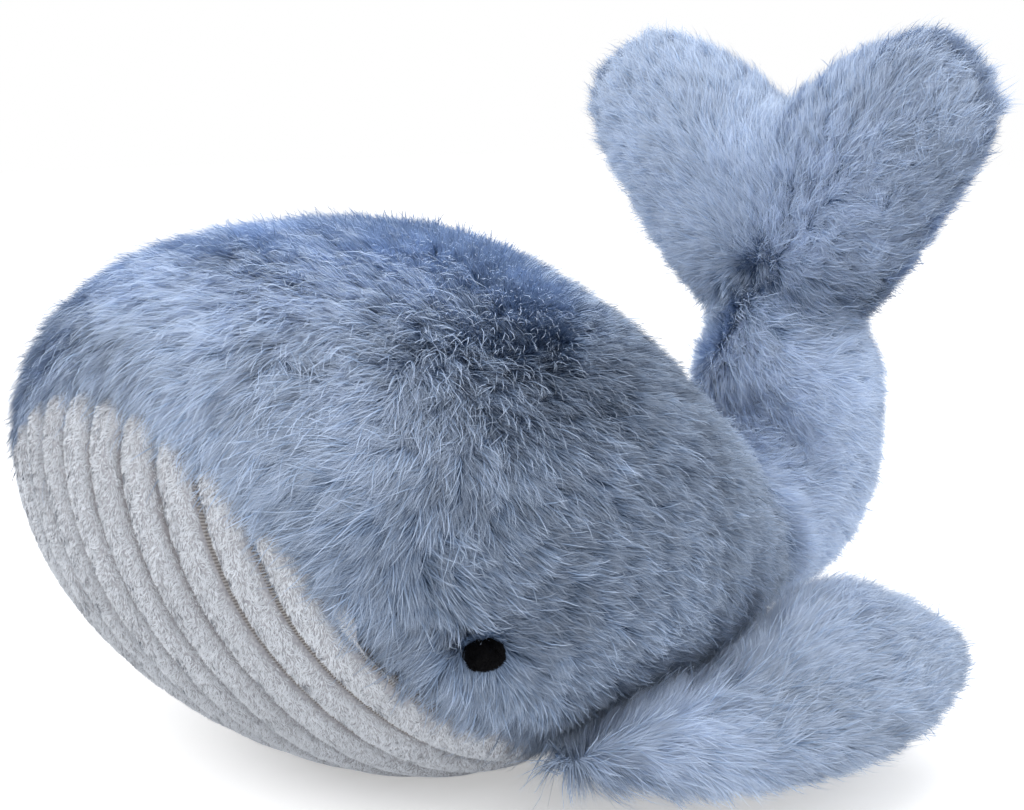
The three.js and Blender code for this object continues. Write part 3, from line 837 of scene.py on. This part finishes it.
def hairEnds(hairs, chosen, shade):
    return (*(hairs[key][chosen] for key in ("root", "tip", "normal")), np.clip(shade, 0.03, 0.97))


def acrossHair(run, normal, spread, source):  # the way across each hair, and the way its face looks
    flatWay = unit(np.cross(run, normal) + source.normal(0, spread, run.shape))
    flatWay = unit(flatWay - (flatWay * run).sum(1, keepdims=True) * run)
    facing = np.cross(flatWay, run)
    outward = np.sign((facing * normal).sum(1, keepdims=True) + 1e-9)
    return flatWay, facing * outward, outward


def spikes(name, hairs, shade, width, material, source, lowest=fur["floor"]):
    # each hair a thin three-sided spike, lit as the pile round it
    root, tip, normal, level = hairEnds(hairs, slice(None), shade)
    run = unit(tip - root)
    first = unit(np.cross(run, unit(source.normal(size=root.shape))))
    second = np.cross(run, first)
    half = width / 2 * source.uniform(0.7, 1.3, len(root))
    outs = [first * np.cos(angle) + second * np.sin(angle) for angle in np.arange(3) * 2 * np.pi / 3]
    points = np.stack([root + out * half[:, None] for out in outs] + [tip], axis=1)
    lit = np.stack([normal * 0.75 + out * 0.4 for out in outs] + [normal * 0.8 + run * 0.4], axis=1)
    uv = shadeUv((level - 0.012, 0.0), (level, 0.0), (level + 0.012, 0.0), (level, 1.0))
    return hairMesh(name, points, [(0, 1, 3), (1, 2, 3), (2, 0, 3)], uv, lit, material, lowest)


def blades(name, hairs, chosen, shade, width, material, source, fromRoot, lowest=fur["floor"]):
    # each hair one thin triangle, its face outward, lit as the pile round it
    root, tip, normal, level = hairEnds(hairs, chosen, shade)
    flatWay, facing, outward = acrossHair(unit(tip - root), normal, 0.3, source)
    half = (width / 2 * source.uniform(0.7, 1.3, len(root)))[:, None] * flatWay * outward
    points = np.stack([root - half, root + half, tip], axis=1)
    lit = np.repeat((normal * 0.8 + facing * 0.3)[:, None], 3, axis=1)
    uv = shadeUv((level, fromRoot), (level, fromRoot), (level, 1.0))
    return hairMesh(name, points, [(0, 1, 2)], uv, lit, material, lowest)


def ribbons(name, hairs, chosen, shade, width, material, source, lowest=fur["floor"]):
    # the long hairs on top, flat and bent, their faces outward
    root, tip, normal, level = hairEnds(hairs, chosen, shade)
    rise = ((tip - root) * normal).sum(1, keepdims=True)
    over = (tip - root) - normal * rise
    rows = [root + normal * rise * up + over * out for up, out in ((0.30, 0), (0.72, 0.30), (0.96, 0.68))]
    flatWay, facing, _ = acrossHair(unit(tip - rows[1]), normal, 0.25, source)
    half = (width / 2 * source.uniform(0.7, 1.2, len(root)))[:, None] * flatWay
    edges = [row + half * share * side for row, share in zip(rows, (1, 0.95, 0.7)) for side in (-1, 1)]
    points = np.stack(edges + [tip], axis=1)
    turned = ((np.cross(rows[1] - rows[0], half) * normal).sum(1) > 0)[:, None, None]
    points = np.where(turned, points[:, [1, 0, 3, 2, 5, 4, 6]], points)
    uv = shadeUv(*[(level + paler, up) for up in (0.3, 0.6, 0.85) for paler in (-0.012, 0.012)], (level, 1.0))
    lit = np.repeat((normal * 0.8 + facing * 0.4)[:, None], 7, axis=1)
    return hairMesh(name, points, [(0, 1, 3, 2), (2, 3, 5, 4), (4, 5, 6)], uv, lit, material, lowest)


def furPair(name, hairs, chosen, shade, calm):
    pile, guard = chosen & ~hairs["guard"], chosen & hairs["guard"]
    pair = (blades(f"{name}_pile", hairs, pile, shade[pile], fur["width"], furMaterial, rng,
                   fur["calmRoot"] * calm[pile]),
            ribbons(f"{name}_guard", hairs, guard, shade[guard], fur["guardWidth"], furMaterial, rng))
    return pair


# fur of the whale: where it grows, and how pale it looks, with light and shade painted by zone
# where the pile lies over, its roots are painted paler; where it stands, its depth shows dark and painted light lifts
# it

# painted light and shade by zone: the top, forehead, seam band, rear, tail and fluke painted paler, the body painted
# darker, standing pile painted paler against its own shadow, the crease painted darker
furPaintedLight = {
    "body": -0.32,
    "lowBack": 0.07,
    "high": 0.56,
    "forehead": 0.28,
    "nearSeam": 0.10,
    "standing": 0.40,
    "rear": 0.22,
    "rearShare": 0.8,
    "tail": 0.26,
    "fluke": 0.15,
    "paintedCreaseShade": 0.22,
}
furZones = {  # where each zone starts and is full: lengths across, along or up the toy
    "eyeHole": (4.6 * mm, 6.2 * mm),
    "farSide": (-12 * mm, -45 * mm),
    "hangLow": (36 * mm, 60 * mm),
    "hangHigh": (114 * mm, 100 * mm),
    "standing": (3.4 * mm, 1.4 * mm),  # of the lean
    "flankUp": (75 * mm, 45 * mm),
    "flankAlong": (-40 * mm, 10 * mm),
    "high": (136 * mm, 160 * mm),
    "foreheadBack": (85 * mm, 40 * mm),
    "foreheadUp": (96 * mm, 122 * mm),
    "backUp": (125 * mm, 85 * mm),
    "backAlong": (-70 * mm, -10 * mm),
    "rearAlong": (25 * mm, 85 * mm),
    "rearUp": (40 * mm, 75 * mm),
}
furEdge = {
    "overSeam": 0.5 * mm,
    "overhang": 14 * mm,  # on the far side the fur hangs further over the throat
    "seamTone": 13 * mm,
    "seamCalm": 18 * mm,
    "creaseHeight": 132 * mm,  # between the stalk and the fluke
    "creaseReach": 7 * mm,
    "denser": 0.6,  # where it stands, since its roots show there
    "flankLonger": 0.15,
}


def zone(values, name):
    return smoothStep(values, *furZones[name])


rng = np.random.default_rng(20)
spot = whaleSurface.points
onBody = whaleLot == 0
overhang = (furEdge["overhang"] * zone(spot[:, 0], "farSide")
            * zone(spot[:, 2], "hangLow") * zone(spot[:, 2], "hangHigh"))
onFur = (~onBody | (whaleSide > -furEdge["overSeam"] - overhang)).astype(float)
for place in eyePlaces:
    onFur *= zone(np.linalg.norm(spot - place, axis=1), "eyeHole")
standing = zone(whaleLean, "standing")
onFur *= 1 + furEdge["denser"] * standing
lowFlank = zone(spot[:, 2], "flankUp") * zone(spot[:, 1], "flankAlong")
longer = 1 + furEdge["flankLonger"] * lowFlank * onBody
hairs = growFur(whaleSurface, whaleWay, whaleLean, whalePile, onFur, longer, rng)

high = zone(spot[:, 2], "high")
forehead = zone(whaleSide, "foreheadBack") * zone(spot[:, 2], "foreheadUp")
lowBack = zone(spot[:, 2], "backUp") * zone(spot[:, 1], "backAlong")
rear = zone(spot[:, 1], "rearAlong") * zone(spot[:, 2], "rearUp")
# painted shade in the crease between the stalk and the fluke: darker tone, and darker roots through calm
paintedCreaseShade = np.exp(-((spot[:, 2] - furEdge["creaseHeight"]) / furEdge["creaseReach"]) ** 2) * (whaleLot > 1)
# painted light and shade over the whale, blurred over the surface and carried to each hair
paintedLight = (furPaintedLight["body"] + furPaintedLight["lowBack"] * lowBack
        + np.maximum(furPaintedLight["high"] * high, furPaintedLight["forehead"] * forehead))
paintedLight += furPaintedLight["nearSeam"] * np.exp(-(whaleSide / furEdge["seamTone"]) ** 2) * (1 - forehead)
paintedLight += furPaintedLight["standing"] * standing
paintedLight = mix(paintedLight, furPaintedLight["rear"], furPaintedLight["rearShare"] * rear)
paintedLight = np.where(onBody, paintedLight, np.where(whaleLot == 3, furPaintedLight["fluke"], furPaintedLight["tail"]))
paintedLight -= furPaintedLight["paintedCreaseShade"] * paintedCreaseShade
# calm: where the roots' painted depth shade is lifted, on the forehead, top, rear, seam band, tail and fluke, and less
# in the crease
calm = np.maximum(np.maximum(forehead, 0.8 * high), 0.7 * rear)
calm = np.maximum(calm, 0.5 * np.exp(-(whaleSide / furEdge["seamCalm"]) ** 2))
calm = np.where(onBody, calm, 1 - 0.9 * paintedCreaseShade)
calm = carried(whaleSurface.evened(calm, 10), hairs["corners"], hairs["share"])
shade = hairShade(hairs, 3, rng, calm) + carried(whaleSurface.evened(paintedLight, 14), hairs["corners"], hairs["share"])
print("stage: fur scattered", hairs["count"])

# its pieces: by part, by side, and the body once more from head to flank
hairPart = wholeParts(hairs["root"], whaleLot[hairs["corners"][:, 0]])
left = hairs["root"][:, 0] > 0
bodyCuts = [-1, -0.085, -0.035, 0.015, 0.065, 1]
bodyNames = ["brow", "cheek", "side", "flank", "rump"]
flukeFrom = 0.128
rigidUpTo = 0.06
furPieces = []


def furPiece(name, chosen, part):
    if not chosen.any():
        return
    for piece in furPair(name, hairs, chosen, shade, calm):
        if part == 0 and hairs["root"][chosen][:, 1].max() < rigidUpTo:
            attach(piece, "body")
        else:
            bendPart(piece, part)
        furPieces.append(piece)


for sideName, onSide in (("left", left), ("right", ~left)):
    for name, low, high in zip(bodyNames, bodyCuts, bodyCuts[1:]):
        within = (hairs["root"][:, 1] >= low) & (hairs["root"][:, 1] < high)
        furPiece(f"{name}_fur_{sideName}", (hairPart == 0) & onSide & within, 0)
    furPiece(f"tail_turn_fur_{sideName}", (hairPart == 1) & onSide, 1)
    furPiece(f"stalk_fur_{sideName}", (hairPart == 2) & onSide & (hairs["root"][:, 2] < flukeFrom), 2)
    furPiece(f"fluke_fur_{sideName}", (hairPart == 2) & onSide & (hairs["root"][:, 2] >= flukeFrom), 2)
print("stage: fur", [len(piece.data.polygons) for piece in furPieces])


# backing pieces, each in place of the panels and fillings that it stands for

panels = {
    ("back", 0, "left"): ["back_panel_left", "body_filling", "pellet_bag"],
    ("back", 0, "right"): ["back_panel_right"],
    ("tail_turn", 1, "left"): ["tail_base_panel_left", "tail_base_filling"],
    ("tail_turn", 1, "right"): ["tail_base_panel_right"],
    ("stalk", 2, "left"): ["tail_panel_left", "tail_filling", "fluke_front_panel", "fluke_filling"],
    ("stalk", 2, "right"): ["tail_panel_right", "fluke_back_panel"],
}
panelOverlap = 2 * mm  # of the left and right panels, at the middle


def spread(mask, edges):  # a mask and the points next to it, so that panels share their border's faces
    wider = mask.copy()
    wider[edges[:, 0]] |= mask[edges[:, 1]]
    wider[edges[:, 1]] |= mask[edges[:, 0]]
    return wider


whalePart = wholeParts(spot, whaleLot)
onSides = {"left": spot[:, 0] > -panelOverlap, "right": spot[:, 0] < panelOverlap}
for (name, part, sideName), nodes in panels.items():
    keep = spread(whalePart == part, whaleSurface.edges) & onSides[sideName]
    piece = clothPanel(f"{name}_cloth_{sideName}", whaleForm, whaleBacking, keep, backingMaterial)
    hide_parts(*nodes)
    bendPart(piece, part)


# flippers: the left one's hairs, and the same mirrored

flipper = {
    "topSide": (-0.3, 0.3),
    "inner": (126 * mm, 104 * mm),
    "frontEnd": (-45 * mm, -66 * mm),
    "underFront": (0, -50 * mm),
    "longer": (0.4, 0.7, 0.6),  # against the flank, at the front end and under it
    "fill": 0.7,
}
spot = flipperSurface.points
topSide = smoothStep(flipperSurface.normals[:, 2], *flipper["topSide"])
inner = smoothStep(spot[:, 0], *flipper["inner"]) * topSide
frontEnd = smoothStep(spot[:, 1], *flipper["frontEnd"])
underFront = (1 - topSide) * smoothStep(spot[:, 1], *flipper["underFront"])
atInner, atFront, atUnder = flipper["longer"]
longer = 1 + atInner * inner + atFront * frontEnd + atUnder * underFront
flipperHairs = growFur(flipperSurface, flipperWay, flipperLean, flipperPile, np.ones(len(spot)), longer, rng)
flipperCalm = np.ones(flipperHairs["count"])
flipperShade = hairShade(flipperHairs, 5, rng, flipperCalm)
upper = flipperHairs["normal"][:, 2] > 0
for sideName, mirror in (("left", False), ("right", True)):
    body = f"flipper_{sideName}"
    turned = dict(flipperHairs)
    if mirror:
        for key in ("root", "tip", "normal"):
            turned[key] = flipperHairs[key] * (-1, 1, 1)
    for faceName, chosen in (("top", upper), ("bottom", ~upper)):
        for piece in furPair(f"{body}_{faceName}", turned, chosen, flipperShade, flipperCalm):
            bend(piece, joints["flipper"], mirror)
    cloth = clothPanel(f"{body}_cloth", flipperForm, flipperBacking, np.ones(len(spot), bool), backingMaterial, mirror)
    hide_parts(*[f"{body}_{rest}" for rest in ("top_panel", "bottom_panel", "filling")])
    bend(cloth, joints["flipper"], mirror)
print("stage: flippers", flipperHairs["count"])


# throat: one ribbed velour sheet, stuffed from behind

throat = {
    "ribPitch": 14.7 * mm,
    "ribDepth": 6.4 * mm,
    "flatDepth": 0.3,  # of that depth, where the toy rests
    "fadeFrom": 1 * mm,
    "fadeHeight": 14 * mm,
    "across": 90 * mm,
    "down": (-0.6, 2.0),
    "acrossSteps": 240,
    "alongSteps": 150,
    "behind": 8 * mm,  # how far the sheet goes on behind the lowest point of the seam
    "underFrom": -1.0 * mm,
    "under": 8 * mm,  # how far it goes under the fur
    "dive": 6 * mm,
    "floor": 0.1 * mm,
    # the ribs run a little aslant: height over the floor, then how far they have moved across
    "slant": ((0, 6), (28, 14), (39, 15.5), (48, 15.5), (62, 13.5), (73, 11), (86, 8), (97, 5), (113, 1)),
    "ladderFrom": 36 * mm,  # nearer the sides, the valleys show their knitted backing
    "ladderHalf": 1.35 * mm,
    "ladderRung": 0.8 * mm,
    "downLength": 0.12,  # metres on the cloth for one step of down
    "fill": 0.7,
}
throatReach = whale["width"] / 2 - whale["throatDrop"]


def taper(share):
    return 0.5 * share ** whale["taperPower"] + 0.5 * share * share * (3 - 2 * share)


def rounded(share, power):
    return np.sqrt(np.maximum(0, 1 - share ** power))


def bodySection(y, inset):  # the body's half width, top and bottom at a place along it
    nose, rearLength = whale["headLength"] - inset, whale["rearLength"]
    riseFrom, liftFrom, climbFrom = whale["riseFrom"], whale["liftFrom"], whale["climbFrom"]
    head = np.clip(-y / nose, 0, 1)
    rear = np.clip(y / rearLength, 0, 1)
    rise = np.clip((-riseFrom - y) / (nose - riseFrom), 0, 1)
    fall = np.clip((riseFrom + y) / (riseFrom + rearLength), 0, 1)
    lift = np.clip((-liftFrom - y) / (nose - liftFrom), 0, 1)
    climb = np.clip((y - climbFrom) / (rearLength - climbFrom), 0, 1)
    half = (whale["width"] / 2 - inset) * rounded(head, whale["sidePower"])
    half = mix(half, whale["rearHalf"] - inset, taper(rear))
    top = mix(whale["noseHeight"], whale["height"] - whale["skin"] - inset, rounded(rise, whale["topPower"]))
    top = mix(top, whale["rearTop"] - inset, taper(fall))
    seat = rounded(lift, whale["liftPower"])
    bottom = mix(whale["noseHeight"], inset - whale["skin"], seat)
    bottom = mix(bottom, whale["rearBottom"] + inset, taper(climb))
    return half, top, bottom, seat


def throatPlace(arc, down, inset):
    # arc is the way across the ribs, down runs from -1 up the nose, 0 at its front, to 2 at the panel's end
    x = throatReach * np.sin(arc / throatReach)
    front = 1 - np.abs(x / (whale["width"] / 2 - inset)) ** 2
    front = -(whale["headLength"] - inset) * front ** (1 / whale["sidePower"])
    end = -whale["seamForward"][-1] * whale["headLength"] + throat["behind"]
    y = np.where(down <= 1, front * np.cos(np.pi / 2 * np.abs(down)), end * np.clip(down - 1, 0, 1))
    half, top, bottom, seat = bodySection(y, inset)
    middle = (top + bottom) / 2
    extreme = np.where(down < 0, top, bottom - whale["throatDrop"] * seat)
    across = np.where(half > 0, x / np.maximum(half, 1e-6), 0)
    z = mix(middle, extreme, np.sqrt(np.maximum(0, 1 - across ** 2)))
    return np.stack([x, y - whale["shift"], z], axis=-1)


def ribPlace(arc, height):  # how far across the ribs, in ribs, with their slant
    heights, moves = np.array(throat["slant"]).T * mm
    return (arc - np.interp(height, heights, moves)) / throat["ribPitch"]


def ribValley(ribs):  # 0 on a rib's crown, 1 in the valley
    toValley = np.abs((ribs + 0.5) % 1 - 0.5) * 2
    return 1 - np.sqrt(np.maximum(0, 1 - (1 - np.clip(toValley, 0, 1)) ** 2.0))


def throatForm(arc, down):  # a place on the ribbed sheet, and how far across the ribs it is
    crown = throatPlace(arc, down, whale["throatDrop"])
    side, _ = seamSide(crown)
    ribs = ribPlace(arc, crown[:, 2])
    valley = throatPlace(arc, down, whale["throatDrop"] + throat["ribDepth"])
    fade = smoothStep(crown[:, 2], throat["fadeFrom"], throat["fadeHeight"])
    share = ribValley(ribs) * mix(throat["flatDepth"], 1, fade)
    place = mix(crown, valley, share[:, None])
    deeper = throatPlace(arc, down, whale["throatDrop"] + throat["ribDepth"] + throat["dive"])
    place = mix(place, deeper, smoothStep(side, throat["underFrom"], throat["under"])[:, None])
    place[:, 2] = np.maximum(place[:, 2], throat["floor"])
    return place, ribs, side


def addUv(mesh, name, uv, loopPoints):
    mesh.uv_layers.new(name=name).uv.foreach_set("vector", uv[loopPoints].astype(np.float32).ravel())


sheet = bmesh.new()
bmesh.ops.create_grid(sheet, x_segments=throat["acrossSteps"], y_segments=throat["alongSteps"], size=0.5)
for face in sheet.faces:
    face.smooth = True
throatMesh = meshFrom(sheet, "throat_velour")
plan = pointsOf(throatMesh)
down = mix(*throat["down"], plan[:, 1] + 0.5)
place, ribs, side = throatForm(plan[:, 0] * 2 * throat["across"], down)
setPoints(throatMesh, place)
loopPoints = readPoints(throatMesh.loops, "vertex_index", 1, np.int32)
# across in ribs and down in metres, then both put in one square for the bake
addUv(throatMesh, "ribs", np.stack([ribs, down * throat["downLength"]], axis=1), loopPoints)
addUv(throatMesh, "OFBake", plan[:, :2] * 0.98 + 0.5, loopPoints)
cut = bmesh.new()
cut.from_mesh(throatMesh)
cut.verts.ensure_lookup_table()
beyond = [vertex for vertex in cut.verts if side[vertex.index] > throat["under"]]
bmesh.ops.delete(cut, geom=beyond, context="VERTS")
bmesh.ops.recalc_face_normals(cut, faces=cut.faces)
if sum(face.normal.y for face in cut.faces) > 0:
    bmesh.ops.reverse_faces(cut, faces=cut.faces)
cut.to_mesh(throatMesh)
cut.free()


def ribbedMaterial(name, look):  # velour on the ribs, brown knit in the valleys at the sides
    material, links, make, shader = newMaterial(name, look)
    place = make("ShaderNodeUVMap", uv_map="ribs").outputs["UV"]
    apart = make("ShaderNodeSeparateXYZ", {0: place}).outputs
    phase = maths(make, "FRACT", maths(make, "ADD", apart["X"], 100.5))
    phase = maths(make, "ABSOLUTE", maths(make, "SUBTRACT", phase, 0.5))
    valley = mapped(make, phase, {"From Min": look["valleyWidth"], "From Max": 0.02}, "SMOOTHSTEP")
    atSides = mapped(make, maths(make, "ABSOLUTE", apart["X"]),
                     {"From Min": look["ladderFrom"], "From Max": look["ladderFrom"] + 0.6})
    rungs = maths(make, "SINE", maths(make, "MULTIPLY", apart["Y"], 2 * math.pi / look["rung"]))
    rung = mapped(make, rungs, {"From Min": -0.4, "From Max": 0.4})
    ladder = mixedColour(make, rung, srgb(*look["ladderDark"]), srgb(*look["ladderPale"]))
    velour = mixedColour(make, maths(make, "MULTIPLY", valley, 0.8), knitCloth(look, links, make, shader),
                         srgb(*look["valley"]))  # painted shade: darker, browner cloth towards the valley
    strip = mapped(make, phase, {"From Min": look["ladderHalf"] + 0.01, "From Max": look["ladderHalf"]})
    finished = mixedColour(make, maths(make, "MULTIPLY", strip, atSides), velour, ladder)
    links.new(finished, shader["Base Color"])
    return material


velourMaterial = ribbedMaterial("ribbed velour cloth", {
    "pale": (190, 192, 198),
    "dark": (150, 151, 158),
    # the colour of the painted shade in the valleys
    "valley": (112, 106, 106),
    "valleyWidth": 0.16,
    "ladderPale": (166, 163, 161),
    "ladderDark": (112, 107, 106),
    "ladderFrom": throat["ladderFrom"] / throat["ribPitch"],
    "ladderHalf": throat["ladderHalf"] / throat["ribPitch"],
    "rung": throat["ladderRung"],
    "loop": 0.9 * mm,
    "bump": 0.5,
    "roughness": 0.9,
    "specular": 0.1,
})
throatPiece = newPiece("throat_velour", throatMesh, velourMaterial)
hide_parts("throat_panel")
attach(throatPiece, "body")

velour = {
    "count": 230000,
    "length": 0.85 * mm,
    "width": 0.40 * mm,
    "lean": 1.7 * mm,
    "rootDepth": 0.2 * mm,
    "curl": 2.4 * mm,  # the size of the small worms that the nap lies in
    "bare": 0.12,  # share of a rib, beside a valley, without nap
    "valleyBare": 0.015,
    "underFur": 4 * mm,
    # the low band: shorter nap there, and painted light lifting the floor's shade
    "lowBand": 30 * mm,
    "level": 0.48,
    "curlShade": 0.11,
    "patchShade": 0.08,
    "patchSize": 30 * mm,
    "paintedLowLight": 0.38,
    # painted shade on the nap beside the valleys
    "paintedValleyShade": 0.62,
    "paler": 0.10,
}


def growVelour(source):
    surface = Surface(throatPiece)
    corners, share = scatter(surface, np.ones(len(surface.points)), velour["count"], source)
    face = carried(surface.points, corners, share)
    normal = unit(carried(surface.normals, corners, share))
    arcs = throatReach * np.arcsin(np.clip(face[:, 0] / throatReach, -1, 1))
    ribs = ribPlace(arcs, face[:, 2])
    fromValley = np.abs((ribs + 0.5) % 1 - 0.5)
    atLadder = np.abs(ribs) > throat["ladderFrom"] / throat["ribPitch"]
    kept = fromValley > velour["bare"] * atLadder * 0.9 + velour["valleyBare"]
    kept &= seamSide(face)[0] < velour["underFur"]
    face, normal, fromValley = face[kept], normal[kept], fromValley[kept]
    count = len(face)
    first = unit(normal * normal[:, 2:] - (0, 0.05, 1))  # down the ribs
    second = np.cross(normal, first)
    turn = patchNoise(face, velour["curl"] * 2, 31) * 0.7 + patchNoise(face, velour["curl"], 32) * 0.6
    turn += source.normal(0, 0.35, count)
    heading = first * np.cos(turn)[:, None] + second * np.sin(turn)[:, None]
    low = smoothStep(face[:, 2], velour["lowBand"], 0)
    rise = velour["length"] * source.uniform(0.7, 1.0, count) * (1 - 0.6 * low) * np.clip(fromValley * 6, 0.45, 1)
    root = face - normal * velour["rootDepth"]
    tip = root + normal * rise[:, None] + heading * (velour["lean"] * source.uniform(0.5, 1.2, count))[:, None]
    shade = velour["level"] + velour["curlShade"] * patchNoise(face, velour["curl"] * 1.3, 33)
    shade += source.normal(0, 0.05, count) + velour["patchShade"] * patchNoise(face, velour["patchSize"], 34)
    # the low band painted paler against the floor's shade, and the nap beside the valleys painted darker
    shade += velour["paintedLowLight"] * low - velour["paintedValleyShade"] * np.clip(1 - fromValley * 4.5, 0, 1) + velour["paler"]
    return {"root": root, "tip": tip, "normal": normal, "count": count}, shade


napHairs, napShade = growVelour(rng)
for sideName, chosen in (("left", napHairs["root"][:, 0] > 0), ("right", napHairs["root"][:, 0] <= 0)):
    piece = blades(f"throat_nap_{sideName}", napHairs, chosen, napShade[chosen], velour["width"], napMaterial,
                   rng, 0.0, lowest=throat["floor"])
    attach(piece, "body")
print("stage: throat", len(throatMesh.polygons), napHairs["count"])


# eyes

eye = {
    "bulge": 0.5 * mm,
    "ruffle": 0.5 * mm,
    "ruffleSize": 5 * mm,
    "outward": (0.93, -0.32, -0.12),
    "share": 0.74,  # of the node's size across, because the fur lies over its edge
    "threads": 4200,
    "threadsFrom": -1.0 * mm,
    "length": (0.6 * mm, 1.7 * mm),
    "lengthShare": 0.6,
    "loose": 0.8,
    "rootDepth": 0.3 * mm,
    "width": 0.30 * mm,
    "fill": 0.9,
}
for sideName, place in zip(("left", "right"), eyePlaces):
    node, sign = f"eye_{sideName}", np.sign(place[0])
    patch = joinedCopy(f"{node}_thread", [node])
    patch.data.materials.clear()
    patch.data.materials.append(stitchMaterial)
    rounding = patch.modifiers.new("round", "SUBSURF")
    rounding.levels = rounding.render_levels = 2
    applied(patch)
    points, normals = pointsOf(patch.data), normalsOf(patch.data)
    outward = unit(np.array(eye["outward"]) * (sign, 1, 1))
    fromMiddle = points - eyeMiddle * (sign, 1, 1)
    deep = (fromMiddle @ outward)[:, None] * outward
    ruffled = patchNoise(points, eye["ruffleSize"], 41) * eye["ruffle"] + eye["bulge"]
    setPoints(patch.data, place + deep + (fromMiddle - deep) * eye["share"] + normals * ruffled[:, None])
    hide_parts(node)
    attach(patch, "body")
    surface = Surface(patch)
    outer = ((surface.points - place) @ outward > eye["threadsFrom"]).astype(float)
    corners, share = scatter(surface, outer, eye["threads"], rng)
    face, normal = carried(surface.points, corners, share), unit(carried(surface.normals, corners, share))
    loose = unit(normal + rng.normal(0, eye["loose"], normal.shape))
    length = rng.uniform(*eye["length"], eye["threads"])[:, None] * eye["lengthShare"]
    threads = {"root": face - normal * eye["rootDepth"], "normal": normal, "tip": face + loose * length}
    ends = spikes(f"{node}_loose_ends", threads, rng.uniform(0.1, 0.9, eye["threads"]), eye["width"],
                  threadMaterial, rng)
    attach(ends, "body")
print("stage: eyes")

for form in (whaleForm, flipperForm):
    bpy.data.objects.remove(form)


# floor, backdrop and lamps

studio = {
    "floorSize": 6.0,
    "floorColour": (0.86, 0.86, 0.86, 1),
    "ambient": 0.75,
    "floorGlow": 0.42,  # only what the camera sees of the floor, not the light on the toy
    "aim": (0, 0, 0.08),
    "lamps": [
        # name, place, size, watts
        ("key", (-0.4, -1.7, 1.6), 1.4, 22),
        ("fill", (1.9, -0.9, 1.1), 1.6, 16),
        ("top", (0.1, 0.6, 1.9), 1.5, 12),
    ],
}


def seenRays(make, operation):  # 1 for what the camera sees, also in a mirror or through glass
    rays = make("ShaderNodeLightPath").outputs
    seen = maths(make, operation, rays["Is Camera Ray"], rays["Is Glossy Ray"])
    return maths(make, operation, seen, rays["Is Transmission Ray"])


floorShape = bmesh.new()
bmesh.ops.create_grid(floorShape, x_segments=1, y_segments=1, size=studio["floorSize"] / 2)
floorMaterial, floorLinks, makeFloor, floorShader = newMaterial("white floor", {"roughness": 0.9, "specular": 0.0})
floorShader["Base Color"].default_value = studio["floorColour"]
floorShader["Emission Color"].default_value = (1, 1, 1, 1)
floorGlow = maths(makeFloor, "MULTIPLY", seenRays(makeFloor, "ADD"), studio["floorGlow"])
floorLinks.new(floorGlow, floorShader["Emission Strength"])
floor = newPiece("floor", meshFrom(floorShape, "floor"), floorMaterial)
floor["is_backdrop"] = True

world = bpy.data.worlds.new("studio")
scene.world = world
world.use_nodes = True
background = world.node_tree.nodes["Background"]
background.inputs["Color"].default_value = (1, 1, 1, 1)
makeWorld = nodeMaker(world.node_tree)
level = mapped(makeWorld, seenRays(makeWorld, "MAXIMUM"), {"To Min": studio["ambient"], "To Max": 1})
world.node_tree.links.new(level, background.inputs["Strength"])

for name, place, size, watts in studio["lamps"]:
    lampData = bpy.data.lights.new(name, "AREA")
    lampData.shape = "DISK"
    lampData.size = size
    lampData.energy = watts
    aimed(inScene(name, lampData), place, studio["aim"])
scene.view_settings.view_transform = "Standard"
print("stage: studio")

shown = [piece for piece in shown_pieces() if piece.type == "MESH"]
triangleCounts = [sum(len(face.vertices) - 2 for face in piece.data.polygons) for piece in shown]
print("stage: triangles", sum(triangleCounts), "largest", max(triangleCounts))
